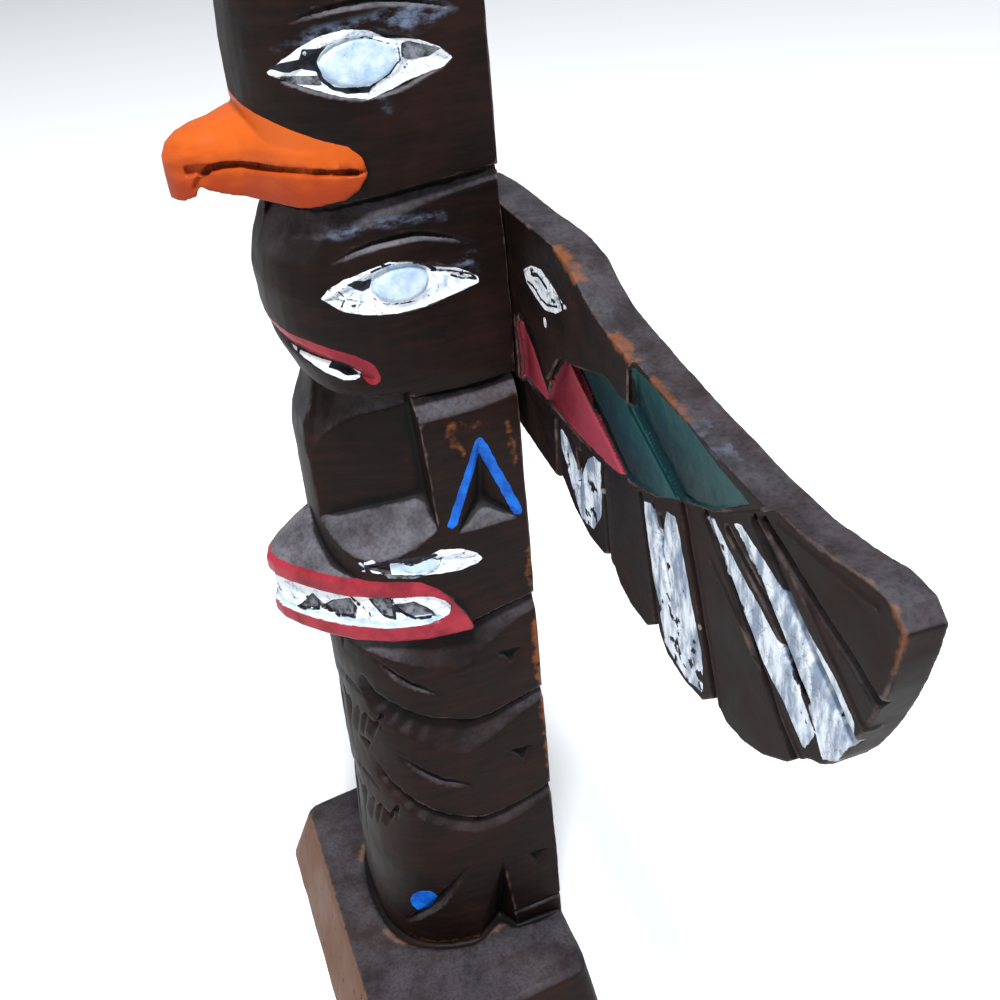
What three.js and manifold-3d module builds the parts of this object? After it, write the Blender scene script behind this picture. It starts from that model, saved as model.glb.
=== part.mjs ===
// Carved wooden totem pole: one carved pole with its base block, and two wings fixed flat on its back.
// Millimetres, +Z up, front towards -Y. The origin lies on the underside, below the middle of the pole.

import * as THREE from 'three';
import { mergeVertices } from 'three/addons/utils/BufferGeometryUtils.js';
import loadKernel from 'manifold-3d';

const kernel = await loadKernel();
kernel.setup();
const { Manifold, Mesh: KernelMesh } = kernel;

// Base block
const baseHeight = 22;
const baseWidth = 112;
const baseFrontReach = 42;
const baseShift = 2;
const baseOutOfSquare = 10;
const baseFrontFlare = 7;
const baseNearFlare = 3;
const baseFarFlare = 5.5;
const baseCornerRadius = 6;
const baseEdgeWear = 1.6;

// Pole, above the base block
const poleHeight = 297;
const poleWidth = 61;
const poleBackDepth = 25;
const poleFrontDepth = 25;

// Wings, flat on the back of the pole
const wingReach = 185;
const wingLift = 155;
const wingSpread = 74;
const wingThickness = 9;
const wingSeamGap = 2;
const fitGap = 0.3;
const featherDrop = 2;
const covertDrop = 1.1;

// The carving is drawn on a pole of these sizes, and follows the real pole's own height, width and depth.
const drawn = { height: 297, side: 30.5, front: 25, back: 25, taper: 1.2 };
const sectionPower = 2.6;
const overcut = 3;
const beyond = 60;

function onPole([x, y, z]) {
  const depth = y < 0 ? poleFrontDepth / drawn.front : poleBackDepth / drawn.back;
  return [(x * poleWidth) / (2 * drawn.side), y * depth, baseHeight + (z * poleHeight) / drawn.height];
}

const asGiven = (point) => point;

// A closed body from its points and triangles, turned so that its faces look outwards
function bodyFrom(points, faces, place) {
  const placed = points.map(place);
  const corner = (index) => new THREE.Vector3(...placed[index]);
  let volume = 0;
  for (const [a, b, c] of faces) {
    volume += corner(a).dot(corner(b).cross(corner(c)));
  }
  const turned = volume < 0 ? faces.map(([a, b, c]) => [a, c, b]) : faces;
  return new Manifold(
    new KernelMesh({
      numProp: 3,
      vertProperties: new Float32Array(placed.flat()),
      triVerts: new Uint32Array(turned.flat()),
    }),
  );
}

// A body through rings that all have the same number of points
function loft(rings, place = onPole) {
  const count = rings[0].length;
  const last = (rings.length - 1) * count;
  const faces = [];
  for (let level = 0; level < last; level += count) {
    for (let i = 0; i < count; i += 1) {
      const a = level + i;
      const b = level + ((i + 1) % count);
      faces.push([a, b, b + count], [a, b + count, a + count]);
    }
  }
  for (let i = 1; i + 1 < count; i += 1) {
    faces.push([0, i + 1, i], [last, last + i, last + i + 1]);
  }
  return bodyFrom(rings.flat(), faces, place);
}

// An outline drawn in two axes and run along the third, from low to high
const outlineAxes = {
  x: new THREE.Matrix4().set(0, 0, 1, 0, 1, 0, 0, 0, 0, 1, 0, 0, 0, 0, 0, 1),
  y: new THREE.Matrix4().set(1, 0, 0, 0, 0, 0, 1, 0, 0, 1, 0, 0, 0, 0, 0, 1),
  z: new THREE.Matrix4(),
};

function prism(outline, axis, low, high, place = onPole) {
  const shape = new THREE.Shape(outline.map(([u, v]) => new THREE.Vector2(u, v)));
  const run = new THREE.ExtrudeGeometry(shape, { depth: high - low, bevelEnabled: false });
  run.deleteAttribute('normal');
  run.deleteAttribute('uv');
  run.translate(0, 0, low);
  run.applyMatrix4(outlineAxes[axis]);
  const welded = mergeVertices(run, 1e-4);
  const points = [];
  const faces = [];
  for (let i = 0; i < welded.attributes.position.count; i += 1) {
    points.push(new THREE.Vector3().fromBufferAttribute(welded.attributes.position, i).toArray());
  }
  for (let i = 0; i < welded.index.count; i += 3) {
    faces.push([welded.index.getX(i), welded.index.getX(i + 1), welded.index.getX(i + 2)]);
  }
  return bodyFrom(points, faces, place);
}

// Front and side reach of the pole at heights above the base, with the narrow necks between the figures
const profile = [
  [-6, 28, 30.5],
  [10, 28.6, 31.2],
  [30, 28, 31.2],
  [48, 27, 30.4],
  [66, 27, 31],
  [88, 26.8, 30.4],
  [104, 27, 31],
  [120, 26.6, 30.5],
  [142, 26.4, 31],
  [168, 26.4, 31],
  [175, 25.4, 31],
  [181, 22.6, 30.6],
  [186, 21, 29.6],
  [190, 23.6, 31],
  [197, 26.8, 31.4],
  [204, 28.6, 31.6],
  [214, 28.9, 31.4],
  [220, 27.6, 31],
  [226, 25, 30.4],
  [232, 23.5, 29.4],
  [237, 26, 30.5],
  [246, 27, 31],
  [266, 27, 31],
  [280, 26.2, 30.4],
  [289, 24, 28.6],
  [294, 20.4, 25.4],
  [297, 15, 20],
];

function reachAt(z) {
  let level = 1;
  while (level < profile.length - 1 && profile[level][0] < z) {
    level += 1;
  }
  const [z0, front0, side0] = profile[level - 1];
  const [z1, front1, side1] = profile[level];
  const share = THREE.MathUtils.clamp((z - z0) / (z1 - z0), 0, 1);
  return { front: front0 + (front1 - front0) * share, side: side0 + (side1 - side0) * share };
}

// A turn runs around the section: 0 at the middle of the front, 1 at the widest point, 2 at the back corner
function sectionPoint(turn, front, side) {
  const hand = turn < 0 ? -1 : 1;
  const size = Math.abs(turn);
  if (size > 1) {
    return [hand * (side - drawn.taper * (size - 1)), drawn.back * (size - 1)];
  }
  const angle = (size * Math.PI) / 2;
  const power = 2 / sectionPower;
  return [hand * side * Math.sin(angle) ** power, -front * Math.max(0, Math.cos(angle)) ** power];
}

// The turn of a point on the section that lies y in front of or behind the middle of the pole
function turnAt(y) {
  if (y > 0) {
    return 1 + y / drawn.back;
  }
  return (Math.acos(Math.min(1, -y / drawn.front) ** (sectionPower / 2)) * 2) / Math.PI;
}

function skinPoint(turn, z, sunk = 0) {
  const { front, side } = reachAt(z);
  const step = 0.01;
  const [x, y] = sectionPoint(turn, front, side);
  const [xa, ya] = sectionPoint(turn - step, front, side);
  const [xb, yb] = sectionPoint(turn + step, front, side);
  const outward = new THREE.Vector3(yb - ya, xa - xb, 0).normalize();
  const point = new THREE.Vector3(x, y, z).addScaledVector(outward, -sunk);
  return { point, outward };
}

const frontSteps = 10;
const sideSteps = 1;
const backSteps = 8;

function sectionRing(z, sunk = 0) {
  const { front, side } = reachAt(z);
  const turns = [];
  for (let i = -sideSteps; i < 0; i += 1) {
    turns.push(-1 + i / sideSteps);
  }
  for (let i = -frontSteps; i <= frontSteps; i += 1) {
    turns.push(i / frontSteps);
  }
  for (let i = 1; i <= sideSteps; i += 1) {
    turns.push(1 + i / sideSteps);
  }
  return turns.map((turn) => [...sectionPoint(turn, front - sunk, side - sunk), z]);
}

// The plain pole, or the same pole with its skin sunk, as the floor of shallow cuts
function poleBody(sunk = 0) {
  return loft(profile.map(([z]) => sectionRing(z, sunk)));
}

// The value that marks of [turn, ...values] give at a turn, on a smooth line through them
function markAt(marks, turn) {
  const last = marks.length - 1;
  let next = 1;
  while (next < last && marks[next][0] < turn) {
    next += 1;
  }
  const slope = (index, value) => {
    const before = marks[Math.max(0, index - 1)];
    const after = marks[Math.min(last, index + 1)];
    return (after[value] - before[value]) / (after[0] - before[0]);
  };
  const start = marks[next - 1];
  const end = marks[next];
  const span = end[0] - start[0];
  const share = THREE.MathUtils.clamp((turn - start[0]) / span, 0, 1);
  return start.slice(1).map((value, index) => {
    const rising = slope(next - 1, index + 1) * span;
    const arriving = slope(next, index + 1) * span;
    const change = end[index + 1] - value;
    const bend = (1 - share) * (rising - change) + share * (change - arriving);
    return value + change * share + share * (1 - share) * bend;
  });
}

// Turns from one to another that fall on the corners of the pole's section, so that cuts stay clean
function turnsBetween(first, last) {
  const turns = [first];
  for (let i = 1; i <= frontSteps + 2 * backSteps; i += 1) {
    const turn = i <= frontSteps ? i / frontSteps : 1 + (i - frontSteps) / backSteps;
    if (turn > first + 0.01 && turn < last - 0.01) {
      turns.push(turn);
    }
  }
  turns.push(last);
  return turns;
}

// A V cut along marks of [y, z, depth, drop] on one side; hand is 1 or -1. Its upper wall is the steep one
// and its lower wall slopes out over the drop. lean is the share of the drop that the deep line lies down.
function gouge(marks, hand, lean = 0.12) {
  const turned = marks.map(([y, ...rest]) => [turnAt(y), ...rest]);
  const first = turned[0][0];
  const last = turned[turned.length - 1][0];
  const step = 0.01;
  const rings = turnsBetween(first, last).map((turn) => {
    const [z, depth, drop] = markAt(turned, turn);
    const [zBefore] = markAt(turned, Math.max(first, turn - step));
    const [zAfter] = markAt(turned, Math.min(last, turn + step));
    const { point, outward } = skinPoint(turn * hand, z);
    const behind = skinPoint((turn - step) * hand, zBefore).point;
    const along = skinPoint((turn + step) * hand, zAfter).point.sub(behind);
    const up = new THREE.Vector3().crossVectors(outward, along).normalize();
    up.multiplyScalar(Math.sign(up.z));
    const deep = point.clone().addScaledVector(outward, -depth).addScaledVector(up, -lean * drop);
    const low = point.clone().addScaledVector(up, -drop);
    const stretch = 1 + overcut / depth;
    const upper = deep.clone().lerp(point, stretch);
    const lower = deep.clone().lerp(low, stretch);
    return [deep.toArray(), upper.toArray(), lower.toArray()];
  });
  return loft(rings);
}

// A cut all around the pole's front and sides, from one back corner to the other
function ringGouge(marks, lean) {
  return gouge(marks, 1, lean).add(gouge(marks, -1, lean));
}

// A three-sided chip with its corners at [y, z] on the skin and its deep point at [y, z, depth]
function chip(corners, [deepY, deepZ, depth], hand) {
  const deep = skinPoint(turnAt(deepY) * hand, deepZ, depth).point;
  const mouth = corners.map(([y, z]) => {
    const { point } = skinPoint(turnAt(y) * hand, z);
    return deep.clone().lerp(point, 1 + overcut / depth).toArray();
  });
  const faces = [
    [0, 1, 2],
    [0, 3, 1],
    [1, 3, 2],
    [2, 3, 0],
  ];
  return bodyFrom([...mouth, deep.toArray()], faces, onPole);
}

function ellipse(y, z, halfY, halfZ, count = 14) {
  const points = [];
  for (let i = 0; i < count; i += 1) {
    const angle = (i * 2 * Math.PI) / count;
    points.push([y + halfY * Math.cos(angle), z + halfZ * Math.sin(angle)]);
  }
  return points;
}

// An almond between two tips, with its own bulge above and below
function almond([y0, z0], [y1, z1], above, below, steps = 7) {
  const points = [];
  for (let i = 0; i < steps; i += 1) {
    const share = i / steps;
    const arch = Math.sin(Math.PI * share);
    points.push([y0 + (y1 - y0) * share, z0 + (z1 - z0) * share - below * arch]);
  }
  for (let i = 0; i < steps; i += 1) {
    const share = 1 - i / steps;
    const arch = Math.sin(Math.PI * share);
    points.push([y0 + (y1 - y0) * share, z0 + (z1 - z0) * share + above * arch]);
  }
  return points;
}

const eyeReach = 8;
const sideRun = (hand) => (hand > 0 ? [eyeReach, beyond] : [-beyond, -eyeReach]);

// An eye: a shallow almond with a low round iris left standing in it
function carveEye(pole, eye, hand) {
  const socket = prism(eye.outline, 'x', ...sideRun(hand)).subtract(poleBody(eye.depth));
  const iris = prism(eye.iris, 'x', ...sideRun(hand)).intersect(poleBody(eye.irisDepth));
  return pole.subtract(socket).add(iris);
}

const eyes = [
  {
    outline: almond([-20, 262], [17, 262], 8, 5.5),
    iris: ellipse(-2.5, 264, 8.4, 4.6),
    depth: 0.9,
    irisDepth: 0.3,
  },
  {
    outline: almond([-18, 213.5], [17.5, 213], 6.5, 4.5),
    iris: ellipse(-0.5, 214.3, 6, 3.8),
    depth: 0.9,
    irisDepth: 0.3,
  },
  {
    outline: almond([-18.5, 140.5], [11.5, 138], 2.6, 2.8),
    iris: ellipse(-4, 139.4, 5, 2.1),
    depth: 0.8,
    irisDepth: 0.3,
  },
];

// The hooked beak of the top head, as rings of [y, half width, ridge height, lowest height]
const beakRings = [
  [-2, 31.9, 252, 230],
  [-7, 31.9, 252.4, 230],
  [-11, 31.4, 253, 230],
  [-16, 29.4, 253.6, 230],
  [-20, 26.2, 254, 230],
  [-23, 22.4, 254, 230],
  [-26, 17.6, 253.4, 230],
  [-29, 13.4, 252.4, 230],
  [-33, 10.8, 251.2, 230],
  [-37, 9.2, 250.4, 230],
  [-40.6, 7.6, 249, 230],
  [-43.4, 5, 247, 230],
  [-44.8, 2, 244.4, 232],
];
const beakWaist = 242;
const beakSide = [
  [-5, 241.2],
  [-5.6, 244.6],
  [-8.4, 247.2],
  [-14, 249.6],
  [-22, 253.6],
  [-28, 256.6],
  [-beyond, 258],
  [-beyond, 234.8],
  [-42, 235],
  [-39.6, 236],
  [-38.4, 238.4],
  [-37, 237.4],
  [-33.4, 236.2],
  [-27, 235.4],
  [-18, 235],
  [-10, 236.6],
  [-7.2, 238.3],
];
const beakMouth = [
  [-41, 243],
  [-26, 243.8],
  [-7, 242.4],
  [-7, 241.4],
  [-26, 242.4],
  [-41, 240.6],
];
const beakMouthDepth = 1.4;
const beakRoundness = { power: 0.8, steps: 5, lowHeight: 5, lowShare: 0.72 };

// One ring across the beak: arched above its waist, straight down below it, with a rounded lower edge
function beakRing([y, half, ridge, low]) {
  const { power, steps, lowHeight, lowShare } = beakRoundness;
  const right = [];
  for (let i = 0; i <= steps; i += 1) {
    const angle = (i * Math.PI) / (2 * steps);
    const rise = (ridge - beakWaist) * Math.sin(angle) ** power;
    right.push([half * Math.cos(angle) ** power, y, beakWaist + rise]);
  }
  const mirrored = (points) => points.map(([x, , z]) => [-x, y, z]).reverse();
  const jaw = [
    [half * lowShare, y, low],
    [half, y, low + lowHeight],
  ];
  return [...jaw, ...right, ...mirrored(right.slice(0, -1)), ...mirrored(jaw)];
}

function beak() {
  const coreRings = beakRings.map(([y, half, ...heights]) => [y, half - beakMouthDepth, ...heights]);
  const shell = loft(beakRings.map(beakRing));
  const core = loft(coreRings.map(beakRing));
  const mouth = prism(beakMouth, 'x', -beyond, beyond).subtract(core);
  return shell.intersect(prism(beakSide, 'x', -beyond, beyond)).subtract(mouth);
}

// The long snout of the third head, with lips that run back along the cheeks. Its plan is drawn once at
// the lips, and its levels are [z, share of the half width, share of the length].
const snoutHalfPlan = [
  [0, -40.4],
  [4.5, -39.2],
  [10, -35.8],
  [16.8, -30.2],
  [23, -23.8],
  [28.2, -15],
  [31.2, -6],
  [32, 2],
  [32, 8],
];
const snoutRoot = -6;
const snoutLevels = [
  [116.6, 0.98, 0.98],
  [117.6, 1, 1],
  [134.6, 1, 1],
  [135.6, 0.975, 0.975],
  [138, 0.8, 0.88],
  [141, 0.6, 0.77],
  [144.4, 0.4, 0.67],
  [148, 0.22, 0.56],
];
const snoutSide = [
  [-beyond, 112],
  [6, 112],
  [6.8, 117.6],
  [5.4, 121.6],
  [2.4, 127],
  [-1.6, 131.4],
  [-6, 134.4],
  [-12, 136.6],
  [-16, 150],
  [-beyond, 150],
];
const mouthSide = [
  [-beyond, 120.8],
  [-2, 121.6],
  [1, 123],
  [1.8, 125.2],
  [0.4, 127.6],
  [-2.9, 130],
  [-6.5, 131],
  [-beyond, 131],
];
const mouthDepth = 1.3;

function snoutRing(z, across, ahead, sunk = 0) {
  const right = snoutHalfPlan.map(([x, y]) => {
    const outward = new THREE.Vector2(x / 2, y - snoutRoot).normalize();
    const half = x * across - Math.min(x, sunk * Math.max(0.6, outward.x));
    const reach = y < snoutRoot ? snoutRoot + (y - snoutRoot) * ahead + sunk : y;
    return [half, reach, z];
  });
  const left = right
    .slice(1)
    .reverse()
    .map(([x, y]) => [-x, y, z]);
  return [...left, ...right];
}

function snout() {
  const whole = loft(snoutLevels.map(([z, across, ahead]) => snoutRing(z, across, ahead)));
  const floor = loft([snoutRing(110, 1, 1, mouthDepth), snoutRing(155, 1, 1, mouthDepth)]);
  const mouth = prism(mouthSide, 'x', -beyond, beyond).subtract(floor);
  return whole.intersect(prism(snoutSide, 'x', -beyond, beyond)).subtract(mouth);
}

// The flat hollow between the brow ridge and the ear block, with a ledge that slopes out below it. Its wall
// runs from the ridge to the ear, as [x, y], and leans between the wall's foot and its top.
const hollow = {
  foot: { ridge: [10.6, -27], ear: [22.5, 0.6] },
  head: { ridge: [9, -27], ear: [22.5, -1.4] },
  floorAtRidge: 149.4,
  floorAtEar: 156,
  top: 188,
};

// The wall's top edge, as [share of the way from ridge to ear, height, lean inwards above it]
const browRim = [
  [0, 162, 0.2],
  [0.09, 168.4, 0.28],
  [0.22, 173.4, 0.38],
  [0.45, 177.6, 0.5],
  [0.72, 179.9, 0.55],
  [1, 181.4, 0.5],
];
const browTop = 190;

function hollowCut(hand) {
  const { foot, head, floorAtRidge, floorAtEar, top } = hollow;
  const corners = ({ ridge, ear }) => {
    return [ridge, ear, [beyond, ear[1]], [beyond, -beyond], [ridge[0], -beyond]];
  };
  const along = new THREE.Vector2(...foot.ear).sub(new THREE.Vector2(...foot.ridge));
  const length = along.length();
  along.normalize();
  const floor = corners(foot).map(([x, y]) => {
    const fromRidge = new THREE.Vector2(x, y).sub(new THREE.Vector2(...foot.ridge));
    const wallFloor = floorAtRidge + ((floorAtEar - floorAtRidge) * fromRidge.dot(along)) / length;
    return [hand * x, y, wallFloor + along.cross(fromRidge)];
  });
  const ceiling = corners(head).map(([x, y]) => [hand * x, y, top]);
  return loft([floor, ceiling]);
}

// The brow leans inwards from the hollow's top edge to the neck
function browCut(hand) {
  const { foot, head, floorAtRidge, top } = hollow;
  const rings = browRim.map(([share, z, lean]) => {
    const rise = (z - floorAtRidge) / (top - floorAtRidge);
    const end = (name) => new THREE.Vector2(...foot[name]).lerp(new THREE.Vector2(...head[name]), rise);
    const ridge = end('ridge');
    const ear = end('ear');
    const { x, y } = ridge.clone().lerp(ear, share);
    const inward = ear.clone().sub(ridge).normalize().rotateAround(new THREE.Vector2(), Math.PI / 2);
    const at = (depth, height) => [hand * (x + inward.x * depth), y + inward.y * depth, height];
    return [at(0, z), at(lean * (browTop - z), browTop), at(-overcut, browTop), at(-overcut, z)];
  });
  return loft(rings);
}

// Grooves between the figures, as [y, z, depth, drop]
const backPast = drawn.back + 1.5;
const ringGrooves = [
  [
    [-25, 233, 3.4, 6],
    [-15, 234.5, 3.8, 7],
    [0, 236, 3.6, 7],
    [14, 237, 3, 6],
    [backPast, 238, 2.4, 5],
  ],
  [
    [-25, 190, 4, 8],
    [-19, 188, 4, 8],
    [-9, 186.5, 3.6, 6],
    [2, 186, 3.2, 5.2],
    [14, 186, 3, 5],
    [backPast, 187, 2.6, 4.6],
  ],
  [
    [-25, 117, 3, 4],
    [-18, 117, 3.4, 5],
    [-8, 117, 3.8, 9],
    [1, 117.5, 4, 13.5],
    [8, 118.5, 3.6, 9],
    [18, 120.5, 3, 6],
    [backPast, 122, 2.6, 5],
  ],
];

const armGrooves = [
  [
    [-21.5, 104, 0.5, 2],
    [-19.5, 99, 3, 8],
    [-15, 95, 3.6, 10],
    [-8, 90.5, 3.6, 9],
    [1, 86.5, 4, 12],
    [8, 85.5, 3.6, 8],
    [17, 87.5, 3, 5],
    [backPast, 90, 2.6, 4.4],
  ],
  [
    [-21.5, 72, 0.5, 2],
    [-19, 66, 2.6, 4],
    [-15, 61, 3.2, 5],
    [-8, 54.5, 3.4, 5.4],
    [1, 49.5, 3.6, 5.6],
    [8, 48.5, 3.4, 5.4],
    [17, 50.5, 3, 5],
    [backPast, 54, 2.6, 4.6],
  ],
];

// Narrow slits that fade out at both ends
const slits = [
  [
    [-15, 222.5, 0.3, 0.8],
    [-5, 226.4, 1.4, 2.2],
    [6, 226.2, 1.4, 2],
    [18, 221.5, 0.3, 0.8],
  ],
  [
    [-18, 273, 0.3, 0.8],
    [-4, 276.6, 1.4, 2.2],
    [9, 275.6, 1.4, 2.2],
    [20, 271.6, 0.3, 0.8],
  ],
  [
    [-19, 112, 0.3, 0.8],
    [-12, 104.6, 1.8, 2.4],
    [-2, 96.6, 0.3, 0.8],
  ],
  [
    [-17, 78, 0.3, 0.8],
    [-8, 69.5, 1.8, 2.6],
    [2, 60.5, 0.3, 0.8],
  ],
  [
    [-21, 8, 0.4, 1.2],
    [-13, 21, 2.4, 4.6],
    [-3, 31.5, 0.3, 0.8],
  ],
  [
    [9, 6.8, 1, 1.8],
    [17, 7.4, 1.6, 2.4],
    [backPast, 8, 1.4, 2.2],
  ],
];

// Chips: three corners on the skin, then the deep point with its depth
const chips = [
  [[[14, 173], [5, 146], [23, 146]], [14, 152.5, 5]],
  [[[11, 106.4], [21, 105.6], [17, 99]], [16.4, 104.2, 2.2]],
  [[[12, 70.8], [21, 70.2], [17.4, 63.6]], [17, 68.8, 2.2]],
  [[[14.6, 29], [22.6, 28.4], [18.6, 22]], [18.6, 27, 2]],
  [[[7.6, 30], [-4, -5], [10.4, -5]], [6.4, -4, 8]],
  [[[-24.1, 76.8], [-22.1, 78], [-22.9, 73]], [-22.9, 76.4, 1.5]],
  [[[-24.6, 118], [-23.6, 112.6], [-24.1, 107]], [-23.9, 112.6, 1.6]],
];

// A cut with a flat ceiling and a floor that slopes out, through [turn, ceiling, foot of the slope, depth]
function stepCut(marks, hand) {
  const rings = marks.map(([turn, ceiling, foot, depth]) => {
    const deep = skinPoint(turn * hand, ceiling, depth).point;
    const mouth = [ceiling, foot].map((z) => {
      return deep.clone().lerp(skinPoint(turn * hand, z).point, 1 + overcut / depth).toArray();
    });
    return [deep.toArray(), ...mouth];
  });
  return loft(rings);
}

// A hand hangs in front where each arm ends: a wrist line at the given height, and below it the wood
// is cut back to a zigzag of claw tips. The marks are heights above the wrist line.
const wristHeights = [96, 61.5];
const wristLine = [
  [0.02, -0.6, -1.8, 0.3],
  [0.12, 0.9, -1.2, 1],
  [0.26, 1.5, -0.9, 1.1],
  [0.37, -0.6, -2, 0.3],
];
const clawLine = [
  [0.03, -7, -17.5, 0.6],
  [0.08, -9.4, -18.6, 1.8],
  [0.13, -7.2, -18.4, 2],
  [0.2, -9.8, -17.6, 2.2],
  [0.245, -7.4, -17, 2.2],
  [0.29, -9.6, -16, 2.4],
  [0.33, -7.5, -15, 2.4],
  [0.43, -9.6, -13, 2.6],
  [0.49, -5.8, -12, 2.4],
  [0.55, -3, -11, 0.8],
];

function handCuts(wrist, hand) {
  return [wristLine, clawLine].map((marks) => {
    const raised = marks.map(([turn, ceiling, foot, depth]) => [turn, wrist + ceiling, wrist + foot, depth]);
    return stepCut(raised, hand);
  });
}

// The second head's open mouth: the wood under its upper lip is cut back
function lipCut(hand) {
  return gouge(
    [
      [-25, 203, 1.6, 8],
      [-21, 201.6, 1.8, 9],
      [-14, 198, 1.8, 8],
      [-9, 194, 1, 4],
    ],
    hand,
    0.2,
  );
}

// The base block is a four-cornered block, a little out of square, that widens downwards
function baseRing(z, { near, far, front }) {
  const half = baseWidth / 2;
  const lean = baseOutOfSquare / 2;
  const corners = [
    [baseShift - lean - half - far, poleBackDepth + near],
    [baseShift - lean + half + near, poleBackDepth + near],
    [baseShift + lean + half + near, -baseFrontReach - front],
    [baseShift + lean - half - far, -baseFrontReach - front],
  ].map(([x, y]) => new THREE.Vector2(x, y));
  const steps = 4;
  const points = [];
  for (let i = 0; i < 4; i += 1) {
    const here = corners[i];
    const before = here.clone().sub(corners[(i + 3) % 4]).setLength(baseCornerRadius);
    const after = corners[(i + 1) % 4].clone().sub(here).setLength(baseCornerRadius);
    const arc = new THREE.QuadraticBezierCurve(here.clone().sub(before), here, here.clone().add(after));
    for (const { x, y } of arc.getPoints(steps)) {
      points.push([x, y, z]);
    }
  }
  return points;
}

function baseBlock() {
  const rings = [
    baseRing(0, { near: baseNearFlare, far: baseFarFlare, front: baseFrontFlare }),
    baseRing(baseHeight - baseEdgeWear, { near: 0, far: 0, front: 0 }),
    baseRing(baseHeight, { near: -baseEdgeWear, far: -baseEdgeWear, front: -baseEdgeWear }),
  ];
  return loft(rings, asGiven);
}

function carvedPole() {
  let pole = poleBody();
  for (const marks of ringGrooves) {
    pole = pole.subtract(ringGouge(marks));
  }
  for (const hand of [1, -1]) {
    for (const marks of armGrooves) {
      pole = pole.subtract(gouge(marks, hand));
    }
    for (const marks of slits) {
      pole = pole.subtract(gouge(marks, hand, 0.5));
    }
    for (const [corners, deep] of chips) {
      pole = pole.subtract(chip(corners, deep, hand));
    }
    for (const cut of wristHeights.flatMap((wrist) => handCuts(wrist, hand))) {
      pole = pole.subtract(cut);
    }
    pole = pole.subtract(lipCut(hand)).subtract(hollowCut(hand)).subtract(browCut(hand));
    for (const eye of eyes) {
      pole = carveEye(pole, eye, hand);
    }
  }
  return pole.add(beak()).add(snout()).add(baseBlock());
}

// The wing is drawn 185 long, from 155 to 229 above the base block
const drawnWing = { reach: 185, low: 155, spread: 74 };

const wingOutline = [
  [0, 227],
  [12, 228],
  [46, 228.4],
  [60, 228.6],
  [68, 227],
  [75, 223.6],
  [82, 221],
  [90, 219.6],
  [105, 217.6],
  [121, 215.8],
  [142, 214],
  [156, 213.6],
  [166, 214.6],
  [176, 216.4],
  [182, 215.8],
  [185, 213],
  [183.8, 207.4],
  [182, 201],
  [179.8, 195.8],
  [177.5, 190.4],
  [175, 185.8],
  [172.3, 181.3],
  [169.4, 177.3],
  [166.4, 174.6],
  [163, 173],
  [159.7, 170.6],
  [156, 166.4],
  [148, 161.4],
  [140, 158.6],
  [134, 158],
  [129.6, 160.4],
  [124, 155.8],
  [116, 154.8],
  [108, 156],
  [103.6, 160.4],
  [98, 156.4],
  [90, 156.4],
  [83.6, 158.6],
  [79.6, 163.4],
  [75, 160.8],
  [67, 161],
  [58, 163.6],
  [51.6, 168],
  [46, 166.4],
  [32, 167.6],
  [0, 171],
];

// The lower edge of the raised coverts, from the root to where it meets the top edge
const covertLine = [
  [-10, 186.2],
  [31.6, 185.2],
  [52, 184.8],
  [76.4, 186.6],
  [94.7, 189.3],
  [106.8, 192.9],
  [116, 197.4],
  [131.2, 202.9],
  [141.9, 209.2],
  [148.5, 213.2],
];

// The toothed edge between the shoulder panel and the painted coverts below it
const shoulderLine = [
  [33, 204],
  [41, 203],
  [50.8, 193],
  [60, 203],
  [67.5, 204.4],
  [86, 209.6],
  [97, 208.4],
  [98, 216.4],
  [103, 225],
];

// Cuts between the feathers, each from the coverts to the lower edge
const featherCuts = [
  [[50.4, 184.4], [49.6, 165.9]],
  [[76.5, 186.4], [78.9, 160.8]],
  [[96.6, 188.5], [104.4, 155.6]],
  [[116.1, 196.7], [131.1, 155.6]],
  [[125.4, 199.8], [159.2, 169]],
  [[142.8, 208.5], [180.8, 182.3]],
  [[145.9, 209.7], [187, 195.7]],
];

// Splits down the middle of the painted feathers
const featherSplits = [
  [[64.8, 185.4], [62.3, 172.1]],
  [[102.8, 189.5], [110, 174.1]],
  [[137.7, 203.9], [162.3, 184]],
];

// Overlaps between the coverts
const covertCuts = [
  [[64.7, 203.1], [93.6, 188.3]],
  [[93.6, 207.1], [118, 197]],
];

function onWing(hand) {
  const frontPlane = poleBackDepth + fitGap;
  const root = baseHeight + (wingLift * poleHeight) / drawn.height;
  return ([x, y, z]) => [
    hand * (wingSeamGap / 2 + (x * (wingReach - wingSeamGap / 2)) / drawnWing.reach),
    frontPlane + y,
    root + ((z - drawnWing.low) * wingSpread) / drawnWing.spread,
  ];
}

// A V cut along a straight line in the wing's face, from a floor at the given depth
function score([start, end], floor, [width, depth], place) {
  const [x0, z0] = start;
  const [x1, z1] = end;
  const length = Math.hypot(x1 - x0, z1 - z0);
  const acrossX = ((z1 - z0) / length) * width;
  const acrossZ = ((x0 - x1) / length) * width;
  const rings = [start, end].map(([x, z]) => [
    [x, floor + depth, z],
    [x + acrossX, floor - depth, z + acrossZ],
    [x - acrossX, floor - depth, z - acrossZ],
  ]);
  return loft(rings, place);
}

// Lines past the board's tip, top and foot
const pastTip = 190;
const pastTop = 225;
const pastFoot = 150;

// Cuts in the board's face, as [width to each side, depth]
const featherCut = [2.4, 1.8];
const featherSplit = [1.6, 1.4];
const covertCut = [1.4, 1];

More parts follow.
